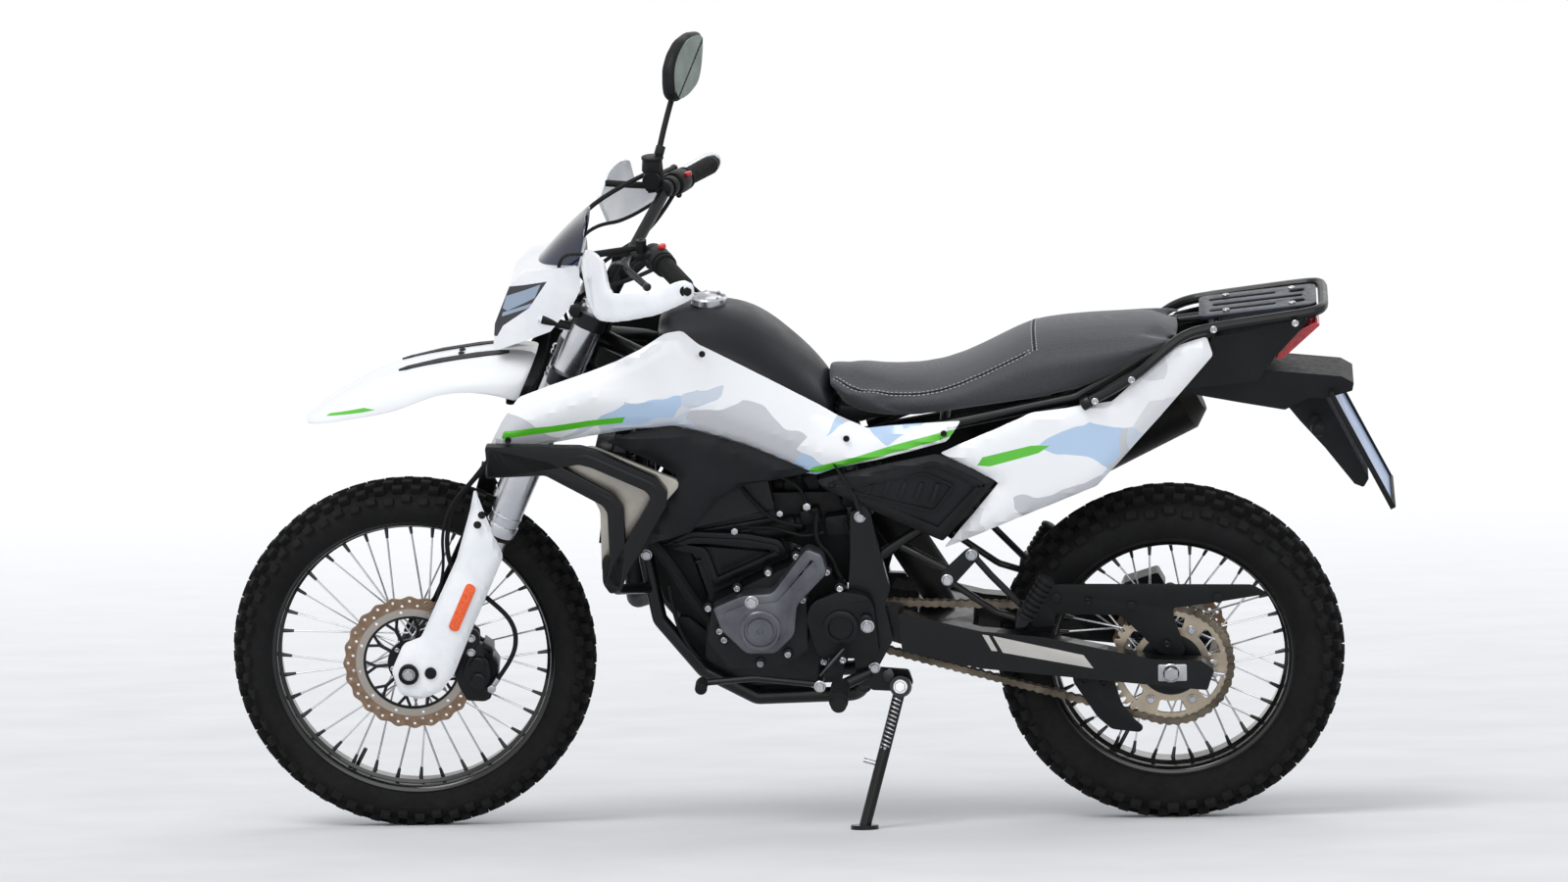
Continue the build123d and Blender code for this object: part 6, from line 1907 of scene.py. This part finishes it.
def placed(name, data, place, way):
    """An object of the scene at a place, its -Z turned along a way."""
    holder = bpy.data.objects.new(name, data)
    bpy.context.scene.collection.objects.link(holder)
    holder.location = place
    holder.rotation_mode = "QUATERNION"
    holder.rotation_quaternion = way.to_track_quat("-Z", "Y")
    return holder


def build_camera(sizes):
    """The main camera, looking at its target, rolled a little."""
    camera_data = bpy.data.cameras.new("main_camera")
    camera_data.lens = sizes.lens
    camera_data.sensor_width = FILM_WIDTH
    camera_data.clip_end = FLOOR_SIZE
    eye, target = Vector(sizes.camera_place), Vector(sizes.camera_target)
    camera = placed("main_camera", camera_data, eye, target - eye)
    look = (target - eye).to_track_quat("-Z", "Y").to_matrix().to_4x4()
    camera.rotation_quaternion = (look @ Matrix.Rotation(sizes.roll, 4, "Z")).to_quaternion()
    bpy.context.scene.camera = camera


def build_world(sizes, colours):
    """Even light from all round; the plain background is what the camera, mirrors and glass see."""
    world = bpy.data.worlds.new("studio_world")
    bpy.context.scene.world = world
    world.use_nodes = True
    tree = world.node_tree
    light = tree.nodes["Background"]
    light.inputs["Color"].default_value = linear("#F1F4FA")
    light.inputs["Strength"].default_value = sizes.sky
    seen = add_node(tree, "ShaderNodeBackground", {"Color": (*colours.background, 1.0), "Strength": 1.0})
    path = add_node(tree, "ShaderNodeLightPath")
    ray = path.outputs["Is Camera Ray"]
    for other in ("Is Glossy Ray", "Is Transmission Ray"):
        ray = add_node(tree, "ShaderNodeMath", {"operation": "MAXIMUM"},
                       {0: ray, 1: path.outputs[other]}).outputs[0]
    add_node(tree, "ShaderNodeMixShader", {}, {0: ray, 1: light.outputs[0], 2: seen.outputs[0]},
             {0: tree.nodes["World Output"].inputs["Surface"]})


def build_stage(sizes, colours):
    """The floor, the camera, the world and the lamps."""
    bpy.context.scene.view_settings.view_transform = "Standard"
    clear()
    bpy.ops.mesh.primitive_plane_add(size=FLOOR_SIZE)
    floor = bpy.context.object
    floor.name = "studio_floor"
    floor.data.materials.append(floor_finish())
    build_camera(sizes)
    build_world(sizes, colours)
    for name, source, share, width in LAMPS:
        lamp = bpy.data.lights.new(name, "SUN")
        lamp.energy = sizes.key * share
        lamp.angle = math.radians(width)
        placed(name, lamp, source, -Vector(source))


# ---- properties, operators, panel ----------------------------------------------------------
class StageSizes(bpy.types.PropertyGroup):
    """Camera and lights."""
    lens: FloatProperty(name="Lens", description="Camera focal length", default=183.94, unit="CAMERA")
    roll: FloatProperty(name="Roll", description="Camera roll", default=math.radians(-0.9), subtype="ANGLE")
    camera_place: FloatVectorProperty(name="Camera", description="Where the camera stands",
                                      subtype="TRANSLATION",
                                      default=(0.7418, -14.8444, 1.25))
    camera_target: FloatVectorProperty(name="Target", description="What the camera looks at",
                                       subtype="TRANSLATION",
                                       default=(-0.04325, 0.13504, 0.723))
    key: FloatProperty(name="Key light", description="Strength of the main light, W/m2", default=1.3)
    sky: FloatProperty(name="Sky", description="Strength of the even light from all round", default=0.58)


def colour_property(name, description, hex_code):
    """A colour that a user can change, its default given as an sRGB hex code."""
    return FloatVectorProperty(name=name, description=description, subtype="COLOR", min=0.0, max=1.0,
                               default=linear(hex_code)[:3])


class PanelColours(bpy.types.PropertyGroup):
    """Colours of the paint, film and stage."""
    white_panel: colour_property("White panels", "Fender, guards, cowl and shroud ground", "#F0F2F4")
    film_green: colour_property("Green film", "Stripes on the panels", "#57BF2A")
    film_blue: colour_property("Blue film", "Blue camouflage patches", "#B3CBE6")
    film_grey: colour_property("Grey film", "Grey camouflage patches", "#C4C6CA")
    tank_paint: colour_property("Tank", "Satin paint of the tank", "#10131B")
    panel_silver: colour_property("Silver panels", "Panels inside the crash bars", "#B9B3AA")
    engine_grey: colour_property("Engine cover", "Flake paint of the generator cover", "#686A70")
    # the vinyl on the seat's raised threads; its hollows are darkened with painted shade
    seat_grey: colour_property("Seat", "Raised grain of the seat cover", "#484A50")
    plate_blue: colour_property("Plate", "The blank number plate", "#A9BEE0")
    floor: colour_property("Floor", "Studio floor", "#E9EAEB")
    background: colour_property("Background", "What stands behind the machine", "#FFFFFF")


class WheelSizes(bpy.types.PropertyGroup):
    """Tyres and rims, in millimetres on the upright machine."""
    front_radius: FloatProperty(name="Front radius", description="Over the knobs", default=341.0)
    rear_radius: FloatProperty(name="Rear radius", description="Over the knobs", default=323.0)
    front_half: FloatProperty(name="Front half width", description="Half the tyre's width", default=46.0)
    rear_half: FloatProperty(name="Rear half width", description="Half the tyre's width", default=61.0)
    front_bead: FloatProperty(name="Front bead", description="Radius where the tyre sits on the rim",
                              default=262.0)
    rear_bead: FloatProperty(name="Rear bead", description="Radius where the tyre sits on the rim",
                             default=224.0)
    front_pitches: IntProperty(name="Front knobs", description="Knobs round the front tyre", default=60)
    rear_pitches: IntProperty(name="Rear knobs", description="Knobs round the rear tyre", default=52)


# profiles of (radius, y)
FRONT_HUB = (
    (28, -34), (30, -44), (44, -59.7), (9, -59.7), (9, 59.7), (22, 59.7), (34, 44), (28, 34), (20, 26),
    (20, -26),
)
REAR_HUB = (
    (46, -36), (50, -46), (58, -50), (58, -76.7), (10, -76.7), (10, 71.7), (40, 71.7), (40, 50), (44, 44),
    (44, 36), (34, 28), (34, -28),
)


class MOTO_OT_stage(bpy.types.Operator):
    """Sets the floor, the lights and the camera"""
    bl_idname = "moto.stage"
    bl_label = "Stage"

    def execute(self, context):
        build_stage(context.scene.moto_stage, context.scene.moto_colours)
        return {"FINISHED"}


class MOTO_OT_front_wheel(bpy.types.Operator):
    """Builds the front tyre, rim, hub, spokes and disc"""
    bl_idname = "moto.front_wheel"
    bl_label = "Front wheel"

    def execute(self, context):
        sizes = context.scene.moto_wheels
        body = "front_wheel_set"
        tyre("front_tyre_tread", body, FRONT_AXLE, sizes.front_radius, sizes.front_half, sizes.front_bead,
             sizes.front_pitches, 1.0)
        rim("front_rim", body, FRONT_AXLE, sizes.front_bead, sizes.front_half, "front_wheel")
        hub("front_hub", body, FRONT_AXLE, FRONT_HUB)
        spokes("front_spokes", body, FRONT_AXLE, sizes.front_bead, 29, 36)
        brake_disc("front_brake_ring", body, FRONT_AXLE, -62, 130, 92, "front_disc_steel", "front_disc")
        return {"FINISHED"}


class MOTO_OT_rear_wheel(bpy.types.Operator):
    """Builds the rear tyre, rim, hub, spokes, disc and sprocket"""
    bl_idname = "moto.rear_wheel"
    bl_label = "Rear wheel"

    def execute(self, context):
        sizes = context.scene.moto_wheels
        body = "rear_wheel_set"
        tyre("rear_tyre_tread", body, REAR_AXLE, sizes.rear_radius, sizes.rear_half, sizes.rear_bead,
             sizes.rear_pitches, 1.12)
        rim("rear_rim", body, REAR_AXLE, sizes.rear_bead, sizes.rear_half, "rear_wheel")
        hub("rear_hub", body, REAR_AXLE, REAR_HUB)
        spokes("rear_spokes", body, REAR_AXLE, sizes.rear_bead, 43, 40)
        brake_disc("rear_brake_ring", body, REAR_AXLE, 74, 110, 76, "rear_disc_steel", "rear_disc")
        sprocket_pieces()
        return {"FINISHED"}


class MOTO_OT_chain(bpy.types.Operator):
    """Lays the chain's links round both sprockets"""
    bl_idname = "moto.chain"
    bl_label = "Chain"

    def execute(self, context):
        chain_pieces()
        return {"FINISHED"}


class MOTO_OT_fork(bpy.types.Operator):
    """Dresses the fork with its guards, caliper and brake line"""
    bl_idname = "moto.fork"
    bl_label = "Fork"

    def execute(self, context):
        fork_pieces()
        guard_pieces()
        caliper_pieces()
        return {"FINISHED"}


class MOTO_OT_fender(bpy.types.Operator):
    """Builds the beak fender"""
    bl_idname = "moto.fender"
    bl_label = "Front fender"

    def execute(self, context):
        fender_pieces()
        return {"FINISHED"}


class MOTO_OT_screen(bpy.types.Operator):
    """Builds the tinted screen"""
    bl_idname = "moto.screen"
    bl_label = "Windscreen"

    def execute(self, context):
        screen_pieces()
        return {"FINISHED"}


class MOTO_OT_hand_guards(bpy.types.Operator):
    """Builds both hand guards"""
    bl_idname = "moto.hand_guards"
    bl_label = "Hand guards"

    def execute(self, context):
        hand_guard_pieces()
        return {"FINISHED"}


class MOTO_OT_mirror(bpy.types.Operator):
    """Builds the right mirror"""
    bl_idname = "moto.mirror"
    bl_label = "Mirror"

    def execute(self, context):
        mirror_pieces()
        return {"FINISHED"}


class MOTO_OT_cockpit(bpy.types.Operator):
    """Builds grips, switches, levers and cables"""
    bl_idname = "moto.cockpit"
    bl_label = "Cockpit"

    def execute(self, context):
        cockpit_pieces()
        return {"FINISHED"}


class MOTO_OT_panels(bpy.types.Operator):
    """Builds the tank, filler cap, shrouds, covers and tail sides"""
    bl_idname = "moto.panels"
    bl_label = "Side panels"

    def execute(self, context):
        tank_piece()
        cap_pieces()
        panel_pieces()
        return {"FINISHED"}


class MOTO_OT_engine(bpy.types.Operator):
    """Builds covers, fins, fittings, hoses and radiator guards"""
    bl_idname = "moto.engine"
    bl_label = "Engine"

    def execute(self, context):
        engine_pieces()
        radiator_pieces()
        return {"FINISHED"}


class MOTO_OT_seat(bpy.types.Operator):
    """Sews the seat cover over its foam"""
    bl_idname = "moto.seat"
    bl_label = "Seat"

    def execute(self, context):
        seat_pieces()
        return {"FINISHED"}


class MOTO_OT_tail(bpy.types.Operator):
    """Builds the rack plate, plate border, lamp and stubs"""
    bl_idname = "moto.tail"
    bl_label = "Tail"

    def execute(self, context):
        tail_pieces()
        return {"FINISHED"}


class MOTO_OT_rear_end(bpy.types.Operator):
    """Dresses the swingarm, the foot pieces and the stand"""
    bl_idname = "moto.rear_end"
    bl_label = "Swingarm"

    def execute(self, context):
        swingarm_pieces()
        feet_pieces()
        stand_pieces()
        return {"FINISHED"}


class MOTO_OT_finishes(bpy.types.Operator):
    """Gives the solids that stay their finish"""
    bl_idname = "moto.finishes"
    bl_label = "Finishes"

    def execute(self, context):
        carried_finishes()
        return {"FINISHED"}


OPERATORS = (
    MOTO_OT_stage, MOTO_OT_front_wheel, MOTO_OT_rear_wheel, MOTO_OT_chain, MOTO_OT_fork, MOTO_OT_fender,
    MOTO_OT_screen, MOTO_OT_hand_guards, MOTO_OT_mirror, MOTO_OT_cockpit, MOTO_OT_panels, MOTO_OT_engine,
    MOTO_OT_seat, MOTO_OT_tail, MOTO_OT_rear_end, MOTO_OT_finishes,
)


class MOTO_PT_panel(bpy.types.Panel):
    """Lists the machine's operators, colours and sizes"""
    bl_idname = "MOTO_PT_panel"
    bl_label = "Dual sport motorcycle"
    bl_space_type = "VIEW_3D"
    bl_region_type = "UI"
    bl_category = "Motorcycle"

    def draw(self, context):
        for operator in OPERATORS:
            self.layout.operator(operator.bl_idname)
        for group in (context.scene.moto_stage, context.scene.moto_colours, context.scene.moto_wheels):
            for key in type(group).__annotations__:
                self.layout.prop(group, key)


CLASSES = (StageSizes, PanelColours, WheelSizes) + OPERATORS + (MOTO_PT_panel,)


def register():
    """Registers the classes, and hangs their settings on the scene."""
    for cls in CLASSES:
        bpy.utils.register_class(cls)
    bpy.types.Scene.moto_stage = PointerProperty(type=StageSizes)
    bpy.types.Scene.moto_colours = PointerProperty(type=PanelColours)
    bpy.types.Scene.moto_wheels = PointerProperty(type=WheelSizes)


def unregister():
    """Takes the settings and the classes away again."""
    del bpy.types.Scene.moto_wheels
    del bpy.types.Scene.moto_colours
    del bpy.types.Scene.moto_stage
    for cls in reversed(CLASSES):
        bpy.utils.unregister_class(cls)


def main():
    """Runs every operator in order."""
    register()
    for operator in OPERATORS:
        group, name = operator.bl_idname.split(".")
        getattr(getattr(bpy.ops, group), name)()


if __name__ == "__main__":
    main()
